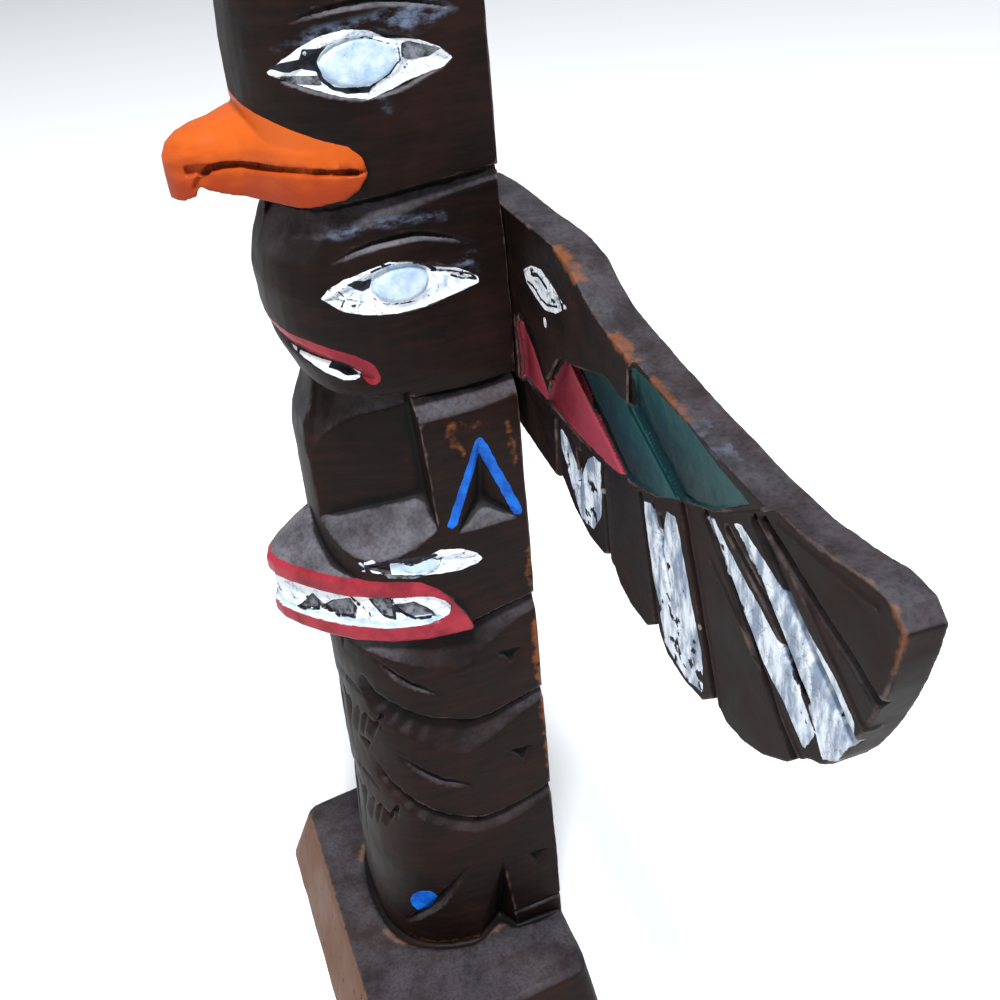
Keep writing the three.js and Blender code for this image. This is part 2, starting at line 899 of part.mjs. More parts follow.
function wing(hand) {
  const place = onWing(hand);
  let board = prism(wingOutline, 'y', 0, wingThickness, place);
  const feathers = [...covertLine, [pastTip, pastTop], [pastTip, pastFoot], [covertLine[0][0], pastFoot]];
  board = board.subtract(prism(feathers, 'y', -overcut, featherDrop, place));
  const covertEdge = covertLine.slice(1).reverse();
  const coverts = [...shoulderLine, [covertEdge[0][0], pastTop], ...covertEdge];
  board = board.subtract(prism(coverts, 'y', -overcut, covertDrop, place));
  for (const line of featherCuts) {
    board = board.subtract(score(line, featherDrop, featherCut, place));
  }
  for (const line of featherSplits) {
    board = board.subtract(score(line, featherDrop, featherSplit, place));
  }
  for (const line of covertCuts) {
    board = board.subtract(score(line, covertDrop, covertCut, place));
  }
  return board;
}

// Materials
const stainedWood = new THREE.MeshStandardMaterial({ color: 0x2b211d, roughness: 0.55, metalness: 0 });

function meshFrom(body, name, material) {
  const { numProp, vertProperties, triVerts } = body.getMesh();
  const geometry = new THREE.BufferGeometry();
  const positions = [];
  for (let i = 0; i < vertProperties.length; i += numProp) {
    positions.push(vertProperties[i], vertProperties[i + 1], vertProperties[i + 2]);
  }
  geometry.setAttribute('position', new THREE.Float32BufferAttribute(positions, 3));
  geometry.setIndex([...triVerts]);
  geometry.computeVertexNormals();
  const mesh = new THREE.Mesh(geometry, material);
  mesh.name = name;
  return mesh;
}

const totemPole = new THREE.Group();
totemPole.add(meshFrom(carvedPole(), 'pole', stainedWood));
totemPole.add(meshFrom(wing(1), 'wing_left', stainedWood));
totemPole.add(meshFrom(wing(-1), 'wing_right', stainedWood));

export default totemPole;
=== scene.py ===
# %% [markdown]
# A carved totem pole
#
# The object is a hand-carved, dark stained souvenir pole with bright paint on its eyes, beak, lips and
# wings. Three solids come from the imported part: the pole with its base, and two wings on its back.
# This lesson dresses each of them: the facets are melted into a carved surface, finer relief is pressed
# in, and stain, dust, worn edges and chipped paint are made with nodes.

# %% Load the frame and keep its size
import math
import bmesh
import bpy
import numpy as np
from mathutils import Matrix, Vector
from mathutils.kdtree import KDTree


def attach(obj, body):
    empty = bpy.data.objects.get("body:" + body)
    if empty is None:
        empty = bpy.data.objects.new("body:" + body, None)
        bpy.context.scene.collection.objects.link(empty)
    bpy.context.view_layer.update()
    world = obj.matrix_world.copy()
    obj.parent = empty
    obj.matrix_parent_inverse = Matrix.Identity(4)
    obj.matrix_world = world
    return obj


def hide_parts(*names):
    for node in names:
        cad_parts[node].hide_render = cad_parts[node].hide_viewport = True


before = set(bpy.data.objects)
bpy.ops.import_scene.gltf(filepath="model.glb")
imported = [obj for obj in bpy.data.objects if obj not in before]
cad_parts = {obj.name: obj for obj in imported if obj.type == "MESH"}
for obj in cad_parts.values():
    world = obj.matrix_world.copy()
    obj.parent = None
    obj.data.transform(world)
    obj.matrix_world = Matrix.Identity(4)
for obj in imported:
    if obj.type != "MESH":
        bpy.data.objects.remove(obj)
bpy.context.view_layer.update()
scene = bpy.context.scene
mm = 0.001
base_top = 22.0

# %% [markdown]
# The photograph was taken by hand from the figures' left, looking down at them with the picture turned
# a little. A camera is easiest to read as a place, a turn round the vertical, a tilt from level and a
# roll about its own view line, so it is put together from those four.

# %% Camera
camera_place = Vector((302.1, -60.3, 343.9)) * mm
camera_turn = math.radians(74.0)
camera_tilt = math.radians(-30.85)
camera_roll = math.radians(-5.56)
focal_share = 1.3

camera_data = bpy.data.cameras.new("camera")
camera = bpy.data.objects.new("camera", camera_data)
scene.collection.objects.link(camera)
level_view = Matrix.Rotation(math.radians(90), 4, "X")
turned = Matrix.Rotation(camera_turn, 4, "Z") @ Matrix.Rotation(camera_tilt, 4, "X") @ level_view
camera.matrix_world = Matrix.Translation(camera_place) @ turned @ Matrix.Rotation(camera_roll, 4, "Z")
camera_data.lens = focal_share * camera_data.sensor_width
camera_data.clip_start = 0.01
scene.camera = camera
print("camera at", tuple(camera_place), "lens", camera_data.lens)

# %% [markdown]
# Carved wood has no facets, and its edges are slightly soft from sanding and wear. A copy of a solid is
# rebuilt by a voxel Remesh into small even faces. Smoothing it all over would wash out the cuts, so the
# smoothing is weighted: strong on the open skin, and nearly nothing close to a cut edge of the solid.


# %% Choosing a piece and applying a modifier to it
same_point = 0.01


def choose(piece):
    bpy.ops.object.select_all(action="DESELECT")
    piece.select_set(True)
    bpy.context.view_layer.objects.active = piece


def apply_modifier(piece, kind, **settings):
    choose(piece)
    bpy.ops.object.modifier_add(type=kind)
    modifier = piece.modifiers[-1]
    for setting, value in settings.items():
        setattr(modifier, setting, value)
    bpy.ops.object.modifier_apply(modifier=modifier.name)


def copy_of(node, name):
    piece = bpy.data.objects.new(name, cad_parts[node].data.copy())
    scene.collection.objects.link(piece)
    piece.data.name = name
    choose(piece)
    bpy.ops.object.mode_set(mode="EDIT")
    bpy.ops.mesh.select_all(action="SELECT")
    bpy.ops.mesh.remove_doubles(threshold=same_point * mm)
    bpy.ops.object.mode_set(mode="OBJECT")
    return piece


# %% Reading points in millimetres and writing soft vertex groups
def places(piece):
    points = np.empty(len(piece.data.vertices) * 3)
    piece.data.vertices.foreach_get("co", points)
    return points.reshape(-1, 3) / mm


def facings(piece):
    normals = np.empty(len(piece.data.vertices) * 3)
    piece.data.vertices.foreach_get("normal", normals)
    return normals.reshape(-1, 3)


def set_group(piece, name, weights, levels=40):
    group = piece.vertex_groups.get(name) or piece.vertex_groups.new(name=name)
    steps = np.round(np.clip(weights, 0, 1) * levels).astype(int)
    for level in range(1, levels + 1):
        members = np.flatnonzero(steps == level)
        if len(members):
            group.add(members.tolist(), level / levels, "REPLACE")
    return name


def smooth_step(low, high, values):
    share = np.clip((values - low) / (high - low), 0, 1)
    return share * share * (3 - 2 * share)


# %% Melting the facets of a solid but keeping its cut edges
facet_bend = math.radians(24)
cut_bend = math.radians(14)
mark_spacing = 0.8
sharp_within = 0.5
smooth_beyond = 2.4


def tree_of(marks):
    tree = KDTree(len(marks))
    for index, mark in enumerate(marks):
        tree.insert(mark, index)
    tree.balance()
    return tree


def near_cuts(piece, facet_axis, highest):
    """Marks along the cut edges, kept for finding the nearest. Edges between facets run along one axis."""
    shell = bmesh.new()
    shell.from_mesh(piece.data)
    marks = []
    for edge in shell.edges:
        start, end = (corner.co / mm for corner in edge.verts)
        run = end - start
        on_facets = abs(run[facet_axis]) > 0.9 * run.length
        least_bend = facet_bend if on_facets else cut_bend
        if edge.calc_face_angle(0) > least_bend and min(start.z, end.z) < highest:
            steps = int(run.length / mark_spacing) + 1
            marks.extend(start.lerp(end, step / steps) for step in range(steps + 1))
    shell.free()
    return tree_of(marks)


def melt(piece, voxel, facet_axis, highest, open_rounds):
    cuts = near_cuts(piece, facet_axis, highest)
    apply_modifier(piece, "REMESH", mode="VOXEL", voxel_size=voxel * mm)
    away = np.array([cuts.find(place)[2] for place in places(piece).tolist()])
    skin = set_group(piece, "open skin", smooth_step(sharp_within, smooth_beyond, away))
    apply_modifier(piece, "SMOOTH", factor=0.5, iterations=open_rounds, vertex_group=skin)
    apply_modifier(piece, "SMOOTH", factor=0.5, iterations=1)
    print(piece.name, "melted to", len(piece.data.vertices), "points")


# %% [markdown]
# Paint and relief both follow outlines drawn on the side of the pole or on the face of a wing. Each
# outline is turned into one number for every point of the mesh: how far inside the outline it lies, in
# millimetres, negative outside. Materials and vertex groups read that number, so an edge can be made
# crisp, soft or chipped later without touching the mesh.


# %% Outlines, and how deep a point lies inside them
most_depth = 9.0


def oval(centre, half_across, half_up, lean=0.0, steps=24):
    outline = []
    for i in range(steps):
        angle = 2 * math.pi * i / steps
        height = half_up * math.sin(angle)
        outline.append((centre[0] + half_across * math.cos(angle) + lean * height, centre[1] + height))
    return outline


def gap_to_segment(points, start, end):
    start = np.array(start, float)
    run = np.array(end, float) - start
    share = np.clip((points - start) @ run / max(run @ run, 1e-9), 0, 1)
    return np.linalg.norm(points - start - share[:, None] * run, axis=1)


def gap_to_line(points, line):
    return np.min([gap_to_segment(points, start, end) for start, end in zip(line, line[1:])], axis=0)


def inside(points, outline):
    closed = [*outline, outline[0]]
    within = np.zeros(len(points), bool)
    x, y = points.T
    for start, end in zip(closed, closed[1:]):
        if start[1] != end[1]:
            crossing = (start[1] > y) != (end[1] > y)
            reach = start[0] + (end[0] - start[0]) * (y - start[1]) / (end[1] - start[1])
            within ^= crossing & (x < reach)
    return np.where(within, 1, -1) * gap_to_line(points, closed)


def stroke(points, line, half_width):
    return half_width - gap_to_line(points, line)


def any_inside(points, outlines):
    return np.max([inside(points, outline) for outline in outlines], axis=0)


def any_stroke(points, strokes):
    return np.max([stroke(points, line, half_width) for line, half_width in strokes], axis=0)


def union(*depths):
    return np.max(depths, axis=0)


def common(*depths):
    return np.min(depths, axis=0)


def without(depth, hole):
    return np.minimum(depth, -hole)


def keep_attribute(piece, name, values):
    attribute = piece.data.attributes.new(name, "FLOAT", "POINT")
    attribute.data.foreach_set("value", np.clip(values, -most_depth, most_depth).astype(np.float32))


# %% [markdown]
# Rubbed wear needs to know where the wood stands proud, and the painted shade in cuts and hollows needs
# to know where it lies deep. Both are measured on the even mesh: how far a point stands above its close
# neighbours, and how deep it lies below the same surface smoothed until the cuts are gone. After the
# mesh is thinned out, each point takes the values of the nearest old one. The thinning spares the places
# with fine paint.


# %% Measuring ridges and hollows
def neighbour_mean(values, ends, counts):
    total = np.bincount(ends[:, 0], values[ends[:, 1]], len(values))
    total += np.bincount(ends[:, 1], values[ends[:, 0]], len(values))
    return total / counts


def relief_of(piece, ridge_rounds=3, hollow_rounds=90):
    points = places(piece)
    normals = facings(piece)
    ends = np.empty(len(piece.data.edges) * 2, np.int64)
    piece.data.edges.foreach_get("vertices", ends)
    ends = ends.reshape(-1, 2)
    counts = np.maximum(np.bincount(ends.ravel(), minlength=len(points)), 1)
    calm = points
    for number in range(hollow_rounds):
        calm = np.stack([neighbour_mean(calm[:, axis], ends, counts) for axis in range(3)], axis=1)
        if number + 1 == ridge_rounds:
            ridge = ((points - calm) * normals).sum(axis=1)
    hollow = ((calm - points) * normals).sum(axis=1)
    return points, ridge, hollow


# %% Thinning a mesh out and keeping its relief as numbers
sparing = 0.8


def thin_out(piece, most_triangles, fine_places):
    spared = set_group(piece, "thinned", 1 - sparing * fine_places)
    piece.data.calc_loop_triangles()
    count = len(piece.data.loop_triangles)
    if count > most_triangles:
        apply_modifier(piece, "DECIMATE", ratio=most_triangles / count, vertex_group=spared)
    piece.data.calc_loop_triangles()
    print(piece.name, "thinned from", count, "to", len(piece.data.loop_triangles), "triangles")


def finish_relief(piece, most_triangles, fine_places):
    points, ridge, hollow = relief_of(piece)
    tree = tree_of(points.tolist())
    thin_out(piece, most_triangles, fine_places)
    nearest = np.array([tree.find(place)[1] for place in places(piece).tolist()])
    for name, values in (("ridge", ridge), ("hollow", hollow)):
        keep_attribute(piece, name, values[nearest])
        print(piece.name, name, np.percentile(values, [1, 50, 90, 99]).round(2))


# %% Pressing relief in and whittling
cut_from = 0.15
cut_full = 0.7


def press(piece, name, weights, depth):
    group = set_group(piece, name, weights)
    apply_modifier(
        piece, "DISPLACE", strength=-depth * mm, mid_level=0.0, vertex_group=group, direction="NORMAL"
    )


def soft_mask(depths, fade=0.5):
    return smooth_step(-fade / 2, fade / 2, depths)


def deepen_cuts(piece, depth):
    hollow = relief_of(piece, hollow_rounds=60)[2]
    press(piece, "cuts", smooth_step(cut_from, cut_full, hollow), depth)
    print(piece.name, "deepened over", round(float((hollow > cut_from).mean()), 3), "of its points")


def whittle(piece, name, size, height):
    waves = bpy.data.textures.new(name, "CLOUDS")
    waves.noise_scale = size * mm
    waves.noise_depth = 1
    apply_modifier(
        piece, "DISPLACE", texture=waves, strength=height * mm, mid_level=0.5,
        texture_coords="LOCAL", direction="NORMAL",
    )


# %% [markdown]
# The pole's paint is the same on both of its sides. Its outlines are given as (y, height above the
# base) on the side view, because that is how a carver would draw them before painting. The three eyes
# have a white almond, a pale iris inside it, and black put in with a pen.

# %% Whites and irises of the pole's eyes
eye_whites = [
    [
        (-21.6, 263.2), (-18.5, 265.9), (-14.3, 268.6), (-10.1, 270.3), (-5.8, 270.9), (-1.0, 270.2),
        (3.0, 268.0), (9.7, 266.9), (14.1, 264.6), (16.8, 262.2), (14.8, 260.7), (7.3, 259.0),
        (2.8, 257.6), (-2.4, 256.5), (-7.6, 257.6), (-14.9, 260.4),
    ],
    [
        (-18.6, 214.0), (-16.7, 216.2), (-12.9, 218.3), (-7.1, 219.9), (-2.8, 220.8), (1.4, 220.1),
        (7.7, 217.4), (13.0, 216.3), (17.6, 213.2), (17.5, 211.8), (11.2, 210.3), (4.6, 209.0),
        (-2.4, 208.6), (-8.4, 209.3), (-14.1, 210.7),
    ],
    [
        (-1.6, 142.7), (0.6, 143.3), (5.9, 142.0), (10.2, 139.2), (11.4, 137.2), (10.0, 136.1),
        (5.2, 135.5), (-1.6, 136.2), (-7.4, 136.9), (-12.4, 138.0), (-12.4, 141.8), (-7.4, 140.6),
    ],
]
eye_white_strokes = [
    ([(-19.3, 140.9), (-16.2, 142.1)], 0.42),
    ([(-19.0, 139.0), (-17.2, 139.2), (-15.0, 138.4)], 0.42),
]
round_irises = [oval((-3.5, 263.9), 8.3, 4.9), oval((-0.6, 215.3), 6.8, 4.5)]
narrow_iris = [
    (-12.5, 141.9), (-7.5, 140.1), (-2.0, 141.2), (0.3, 141.6), (-1.2, 137.2), (-7.2, 137.4), (-11.8, 138.4),
]
print("eyes", len(eye_whites), "on each side")

# %% Black put into the eyes, and grey painted shade on facets of their sockets
black_corners = [
    [
        (-21.4, 264.2), (-18.8, 265.4), (-15.2, 266.1), (-14.3, 268.0), (-9.7, 267.8), (-11.4, 265.6),
        (-12.1, 263.2), (-14.8, 263.9), (-17.3, 263.3),
    ],
    [(-7.9, 259.5), (-4.4, 259.1), (-1.3, 258.9), (-1.9, 257.7), (-7.1, 258.1)],
    [
        (-12.8, 217.0), (-10.9, 217.9), (-8.8, 217.1), (-6.9, 217.6), (-7.7, 215.4), (-9.6, 214.7),
        (-11.2, 215.8),
    ],
    [(-19.2, 140.5), (-15.7, 141.9), (-12.6, 142.7), (-12.5, 140.2), (-18.9, 139.8)],
    [(-12.6, 142.9), (-0.8, 142.6), (-0.1, 141.8), (-2.4, 141.3), (-7.4, 140.6), (-10.9, 141.8)],
]
pen_strokes = [
    ([(-11.9, 266.8), (-12.0, 264.6), (-11.3, 261.6), (-9.3, 259.6), (-7.4, 258.9)], 0.42),
    ([(5.3, 265.7), (5.4, 263.4), (2.7, 260.8), (-1.3, 258.9)], 0.22),
    ([(-10.6, 267.9), (-6.6, 269.0), (-1.0, 268.7), (3.4, 266.9)], 0.10),
    ([(-6.9, 219.3), (-4.4, 220.0), (-2.4, 220.2)], 0.30),
    ([(3.0, 219.3), (5.4, 218.3), (7.7, 216.9)], 0.34),
    ([(-7.3, 213.0), (-5.4, 211.3), (-3.0, 210.7), (2.2, 210.5)], 0.18),
    ([(6.7, 216.7), (11.3, 215.7), (16.0, 214.2), (17.0, 212.8), (14.0, 213.2), (11.4, 214.6)], 0.24),
    ([(-16.4, 213.6), (-12.4, 213.4), (-9.4, 212.2)], 0.16),
    ([(-14.9, 211.6), (-13.6, 213.0)], 0.16),
    ([(-11.2, 210.4), (-10.4, 212.0)], 0.16),
    ([(-7.8, 209.5), (-7.0, 211.4)], 0.16),
    ([(7.0, 210.6), (8.2, 212.8)], 0.12),
    ([(-14.7, 215.6), (-13.6, 214.0)], 0.2),
    ([(-0.9, 140.6), (5.2, 140.6), (8.6, 139.2)], 0.12),
    ([(-12.4, 142.2), (-7.5, 140.2), (-2.0, 141.4), (0.6, 140.2), (-1.4, 136.9)], 0.17),
    ([(-12.0, 138.0), (-7.4, 137.0), (-1.4, 136.8)], 0.12),
]
# Grey on these facets of the eye sockets is painted shade, the shadow that falls into them.
shaded_socket_facets = [
    [(6.1, 266.6), (8.0, 266.7), (14.5, 264.3), (11.8, 262.9), (7.1, 263.0), (5.6, 264.0)],
    [(-20.0, 262.6), (-11.9, 262.5), (-11.2, 260.2), (-17.6, 261.2)],
    [(-14.4, 138.7), (-7.4, 137.2), (-1.2, 136.6), (-7.4, 136.2), (-14.0, 137.4)],
]
print("pen strokes", len(pen_strokes))

# %% Beak, second mouth, chevrons and dots of the pole
beak_outline = [
    (-4.8, 241.2), (-5.4, 244.7), (-8.2, 247.5), (-14.0, 249.5), (-22.0, 253.1), (-26.9, 255.4),
    (-29.6, 259.0), (-60.0, 264.0), (-60.0, 228.0), (-18.0, 234.0), (-11.4, 235.8), (-7.0, 238.0),
]
beak_mouth_line = [
    (-39.6, 238.0), (-38.4, 240.4), (-35.6, 242.1), (-31.0, 242.7), (-18.4, 243.2), (-5.6, 241.9),
]
lip_stroke = [
    (-28.0, 202.3), (-24.0, 201.7), (-20.0, 200.4), (-14.3, 198.3), (-10.9, 196.0), (-9.9, 193.5),
]
lip_half_width = 1.8
teeth_outline = [
    (-26.4, 199.8), (-15.7, 196.8), (-12.2, 194.8), (-13.0, 193.2), (-16.2, 193.0), (-20.0, 194.8),
]
teeth_gap = [
    (-19.0, 196.0), (-17.8, 197.8), (-14.6, 196.6), (-12.4, 194.2), (-15.5, 193.9), (-17.0, 195.2),
]
chevron = [(4.4, 149.6), (13.9, 170.6), (22.2, 148.4)]
chevron_half_width = 1.3
blue_dot = oval((-17.2, 19.4), 3.7, 4.7, lean=0.2)
print("beak outline of", len(beak_outline), "points")

# %% The snout's mouth
snout_lip = [
    (-60.0, 116.4), (5.4, 117.0), (7.0, 117.6), (5.4, 121.4), (3.4, 125.0), (1.2, 128.6),
    (-1.8, 132.0), (-5.7, 134.9), (-11.0, 136.0), (-60.0, 136.0),
]
snout_mouth = [
    (-60.0, 120.7), (-12.0, 121.4), (-2.0, 121.8), (0.9, 123.2), (1.6, 125.2), (0.2, 127.4),
    (-3.1, 129.8), (-6.7, 130.9), (-60.0, 131.0),
]
fangs = [
    [(-35.2, 121.6), (-33.3, 124.5), (-31.4, 127.8), (-29.9, 125.8), (-30.4, 123.2), (-33.8, 121.6)],
    [(-30.1, 124.3), (-26.8, 127.6), (-23.0, 129.4), (-21.8, 126.6), (-22.7, 123.4), (-25.6, 122.9)],
    [(-18.6, 130.2), (-16.7, 131.0), (-13.2, 130.8), (-13.1, 124.2), (-15.4, 124.9), (-17.2, 127.6)],
    [(-13.0, 128.7), (-7.8, 129.0), (-3.8, 125.2), (-2.7, 123.0), (-7.9, 123.5), (-10.5, 125.5)],
]
fang_lines = [
    ([(-30.0, 126.4), (-28.1, 124.4), (-26.1, 122.4)], 0.3),
    ([(-23.2, 130.8), (-20.6, 127.4), (-18.2, 123.8)], 0.3),
    ([(-14.6, 131.0), (-12.4, 127.4), (-10.2, 125.2)], 0.32),
]
lower_gum = [
    (-60.0, 119.8), (-12.0, 120.6), (0.6, 121.6), (-1.6, 123.4), (-10.4, 124.4), (-16.0, 123.6),
    (-22.0, 123.2), (-29.0, 122.9), (-34.0, 121.9), (-60.0, 121.9),
]
print("fangs", len(fangs), "on each side")

# %% [markdown]
# Besides the clean strokes there are traces of use. A pale blue is laid over the wood above the upper
# eyes and on a few ledges, partly wiped white paint and partly a painted highlight; the stain has gone
# rusty along the back edge of the arms and round the ear block, and the front of the base and the ring
# where the foot meets it are worn to a lighter brown.

# %% Smears with painted highlights, and rubbed places of the pole
# Pale smears above the eyes and on a ledge: partly wiped white paint, partly painted highlights.
paint_smears_and_highlights = [
    [
        (-20.0, 268.0), (-12.0, 272.0), (0.0, 273.2), (12.0, 275.4), (19.0, 271.6), (10.0, 268.0),
        (3.0, 269.0),
    ],
    [(8.4, 217.6), (12.2, 219.0), (17.4, 219.6), (18.0, 214.4), (12.0, 216.6)],
    [(-1.6, 257.0), (2.6, 255.6), (2.0, 253.0), (0.2, 253.8)],
    [(-16.0, 229.6), (-4.0, 231.0), (12.0, 229.4), (12.0, 227.6), (-4.0, 228.4), (-14.0, 226.8)],
]
rust_strokes = [
    ([(24.6, 112.0), (24.8, 92.0)], 1.3),
    ([(24.8, 84.0), (25.0, 60.0)], 0.6),
    ([(24.6, 136.0), (23.9, 124.0)], 0.4),
    ([(6.2, 175.6), (7.4, 177.0), (10.4, 177.0), (13.4, 175.4)], 0.35),
    ([(6.4, 175.4), (7.4, 171.8), (9.6, 168.4)], 0.35),
    ([(21.4, 174.0), (22.6, 162.0)], 0.2),
]
foot_ring = [(16.3, -29.2), (21.9, -25.8), (27.4, -17.6), (30.5, -5.6), (28.6, 4.9)]
print("smears", len(paint_smears_and_highlights), "rubbed places", len(rust_strokes))

# %% [markdown]
# The pole is one block of wood with everything carved into it, down to the base. Its copy is melted,
# then the relief that the solid leaves out is pressed in with Displace modifiers: the rims round the
# irises, the gaps between the fangs, and the shallow waves that a knife leaves on whittled wood.

# %% Melt and carve the pole
pole_voxel = 0.46
crown_from = base_top + 283
sides_from = 7
rim_half_width = 0.3
pole = copy_of("pole", "carved_pole")
melt(pole, pole_voxel, facet_axis=2, highest=crown_from, open_rounds=26)


def side_view(piece):
    points = places(piece)
    on_side = np.where(np.abs(points[:, 0]) > sides_from, most_depth, -most_depth)
    return np.stack([points[:, 1], points[:, 2] - base_top], axis=1), on_side


deepen_cuts(pole, depth=0.25)
side, on_side = side_view(pole)
mouth = inside(side, snout_mouth)
rims = union(*[rim_half_width - np.abs(inside(side, iris)) for iris in round_irises])
fang_hollows = common(any_inside(side, fangs), mouth)
beak_groove = stroke(side, beak_mouth_line, 0.5)
press(pole, "iris rims", soft_mask(common(rims, on_side), fade=0.4), depth=0.35)
press(pole, "fang gaps", soft_mask(fang_hollows, fade=0.6), depth=0.8)
press(pole, "second mouth gap", soft_mask(inside(side, teeth_gap), fade=0.6), depth=0.5)
press(pole, "beak mouth", soft_mask(beak_groove, fade=0.6), depth=1.1)
whittle(pole, "broad knife waves", size=9.0, height=0.35)
whittle(pole, "fine knife waves", size=2.6, height=0.12)

# %% Thin the pole out, but not at its eyes
most_pole_triangles = 197000
most_wing_triangles = 150000
fine_margin = 0.6
fine_paint = common(any_inside(side, eye_whites), on_side)
finish_relief(pole, most_pole_triangles, soft_mask(fine_paint + fine_margin))

# %% Paint the pole's outlines on its points
gap_half_width = 0.28
side, on_side = side_view(pole)
mouth = inside(side, snout_mouth)
mouth_gaps = union(gap_half_width - np.abs(any_inside(side, fangs)), any_stroke(side, fang_lines))
whites = union(any_inside(side, eye_whites), any_stroke(side, eye_white_strokes))
irises = any_inside(side, [*round_irises, narrow_iris])
pen = union(any_stroke(side, pen_strokes), any_inside(side, black_corners))
teeth = inside(side, teeth_outline)
lips = union(without(inside(side, snout_lip), mouth), stroke(side, lip_stroke, lip_half_width))
blues = union(stroke(side, chevron, chevron_half_width), inside(side, blue_dot))
# Painted shade on the facets of the eye sockets.
socket_shade = common(any_inside(side, shaded_socket_facets), on_side)

keep_attribute(pole, "white_paint", union(common(whites, on_side), mouth, teeth))
keep_attribute(pole, "pale_paint", union(common(irises, on_side), common(inside(side, lower_gum), mouth)))
# Grey paint on the fangs, and grey painted shade on the facets of the eye sockets.
keep_attribute(pole, "grey_paint_and_socket_shade", union(socket_shade, common(any_inside(side, fangs), mouth)))
keep_attribute(
    pole, "black_paint", union(common(pen, on_side), common(mouth_gaps, mouth), inside(side, teeth_gap))
)
keep_attribute(pole, "red_paint", lips)
keep_attribute(pole, "orange_paint", inside(side, beak_outline))
keep_attribute(pole, "blue_paint", common(blues, on_side))
print("pole painted")

# %% Mark the pole's worn places
ring_half_width = 1.3
ring_height = 1.6
front_below = 0.4
faces_front = 0.6
faces_back = 0.5
pole_places = places(pole)
above_base = pole_places[:, 2] - base_top
top_view = np.stack([np.abs(pole_places[:, 0]), pole_places[:, 1]], axis=1)
worn_ring = common(stroke(top_view, foot_ring, ring_half_width), ring_height - np.abs(above_base))
front_of_base = common(front_below - above_base, most_depth * (-facings(pole)[:, 1] - faces_front))
off_the_back = most_depth * (faces_back - facings(pole)[:, 1])
keep_attribute(pole, "smear_and_highlight", common(any_inside(side, paint_smears_and_highlights), on_side))
keep_attribute(pole, "rust", common(any_stroke(side, rust_strokes), on_side, off_the_back))
keep_attribute(pole, "worn", union(worn_ring, front_of_base))
print("worn places marked")

# %% [markdown]
# The wings are boards with feathers cut into their faces. The coverts overlap like shingles, each
# thicker at its outer edge, and the long feathers have thin raised edges. Outlines on a wing are given
# as (distance from the middle of the pole, height above the base); the far wing is the same, mirrored.

# %% Coverts: outline, inner edge and outer edge
red_coverts = [
    {
        "outline": [
            (31.0, 202.0), (33.6, 201.4), (41.3, 196.4), (48.4, 188.6), (47.0, 186.6), (31.0, 186.6),
        ],
        "inner": [(31.0, 203.0), (31.0, 186.0)],
        "outer": [(35.4, 202.4), (50.8, 187.0)],
    },
    {
        "outline": [
            (48.4, 188.6), (51.0, 193.6), (59.6, 202.2), (64.0, 202.8), (77.2, 196.4), (91.4, 189.6),
            (84.7, 188.0), (67.4, 186.9), (47.0, 186.6),
        ],
        "inner": [(59.6, 203.0), (47.4, 187.0)],
        "outer": [(64.4, 203.2), (92.6, 189.2)],
    },
]
green_coverts = [
    {
        "outline": [
            (64.4, 203.0), (72.0, 205.0), (83.0, 208.4), (90.4, 207.0), (97.6, 208.0), (108.0, 203.0),
            (118.2, 198.0), (106.8, 193.2), (94.7, 189.9), (91.6, 189.6),
        ],
        "inner": [(64.6, 202.6), (92.0, 189.4)],
        "outer": [(97.6, 208.2), (118.2, 197.8)],
    },
    {
        "outline": [
            (97.5, 208.0), (98.2, 216.6), (104.7, 216.6), (121.3, 215.2), (132.5, 213.0), (143.6, 211.4),
            (131.5, 203.6), (118.4, 198.0), (108.0, 203.0),
        ],
        "inner": [(97.5, 208.0), (118.3, 198.0)],
        "outer": [(99.0, 218.4), (144.6, 212.4)],
    },
]
coverts = red_coverts + green_coverts
print("coverts", len(coverts))

# %% Long feathers
white_feathers = [
    [
        (50.4, 179.6), (53.8, 182.2), (57.0, 181.0), (61.8, 176.8), (63.4, 173.2), (69.1, 182.0),
        (73.0, 184.6), (76.2, 184.6), (76.4, 176.0), (75.2, 170.0), (70.5, 164.6), (63.4, 163.4),
        (58.0, 169.4),
    ],
    [
        (99.2, 187.6), (102.5, 188.8), (105.2, 186.0), (106.7, 180.8), (110.0, 191.2), (114.0, 192.2),
        (117.0, 184.6), (124.5, 167.4), (124.8, 158.2), (118.0, 156.0), (107.8, 158.5), (105.2, 167.1),
        (99.8, 176.0),
    ],
    [
        (126.0, 198.6), (129.4, 200.4), (134.6, 197.4), (144.3, 193.0), (153.7, 189.2), (160.0, 184.2),
        (164.6, 179.4), (161.6, 173.9), (154.4, 179.0), (143.3, 184.4), (133.8, 191.4),
    ],
    [
        (137.0, 203.6), (139.4, 204.8), (148.0, 201.9), (159.8, 198.4), (168.0, 195.2), (175.1, 190.2),
        (175.4, 186.6), (170.4, 178.6), (167.2, 176.6), (164.2, 181.1), (158.0, 189.1), (148.1, 195.2),
    ],
]
feather_gaps = [
    ([(63.2, 180.4), (63.6, 174.8)], 1.0),
    ([(107.2, 187.6), (107.0, 182.4)], 1.0),
    ([(134.6, 200.9), (140.7, 198.0), (148.4, 193.9), (160.3, 185.4)], 0.8),
]
feather_rims = [
    ([(49.8, 183.0), (48.2, 168.0)], 0.6),
    ([(79.6, 184.6), (81.4, 162.0)], 0.6),
    ([(97.0, 187.0), (103.0, 161.0)], 0.6),
    ([(119.4, 196.6), (132.2, 160.6)], 0.6),
    ([(128.4, 190.8), (160.6, 171.4)], 0.6),
    ([(145.4, 209.0), (160.4, 202.4), (178.0, 190.4)], 0.6),
    ([(151.4, 211.2), (163.5, 212.0), (178.3, 213.2)], 0.6),
]
print("white feathers", len(white_feathers))

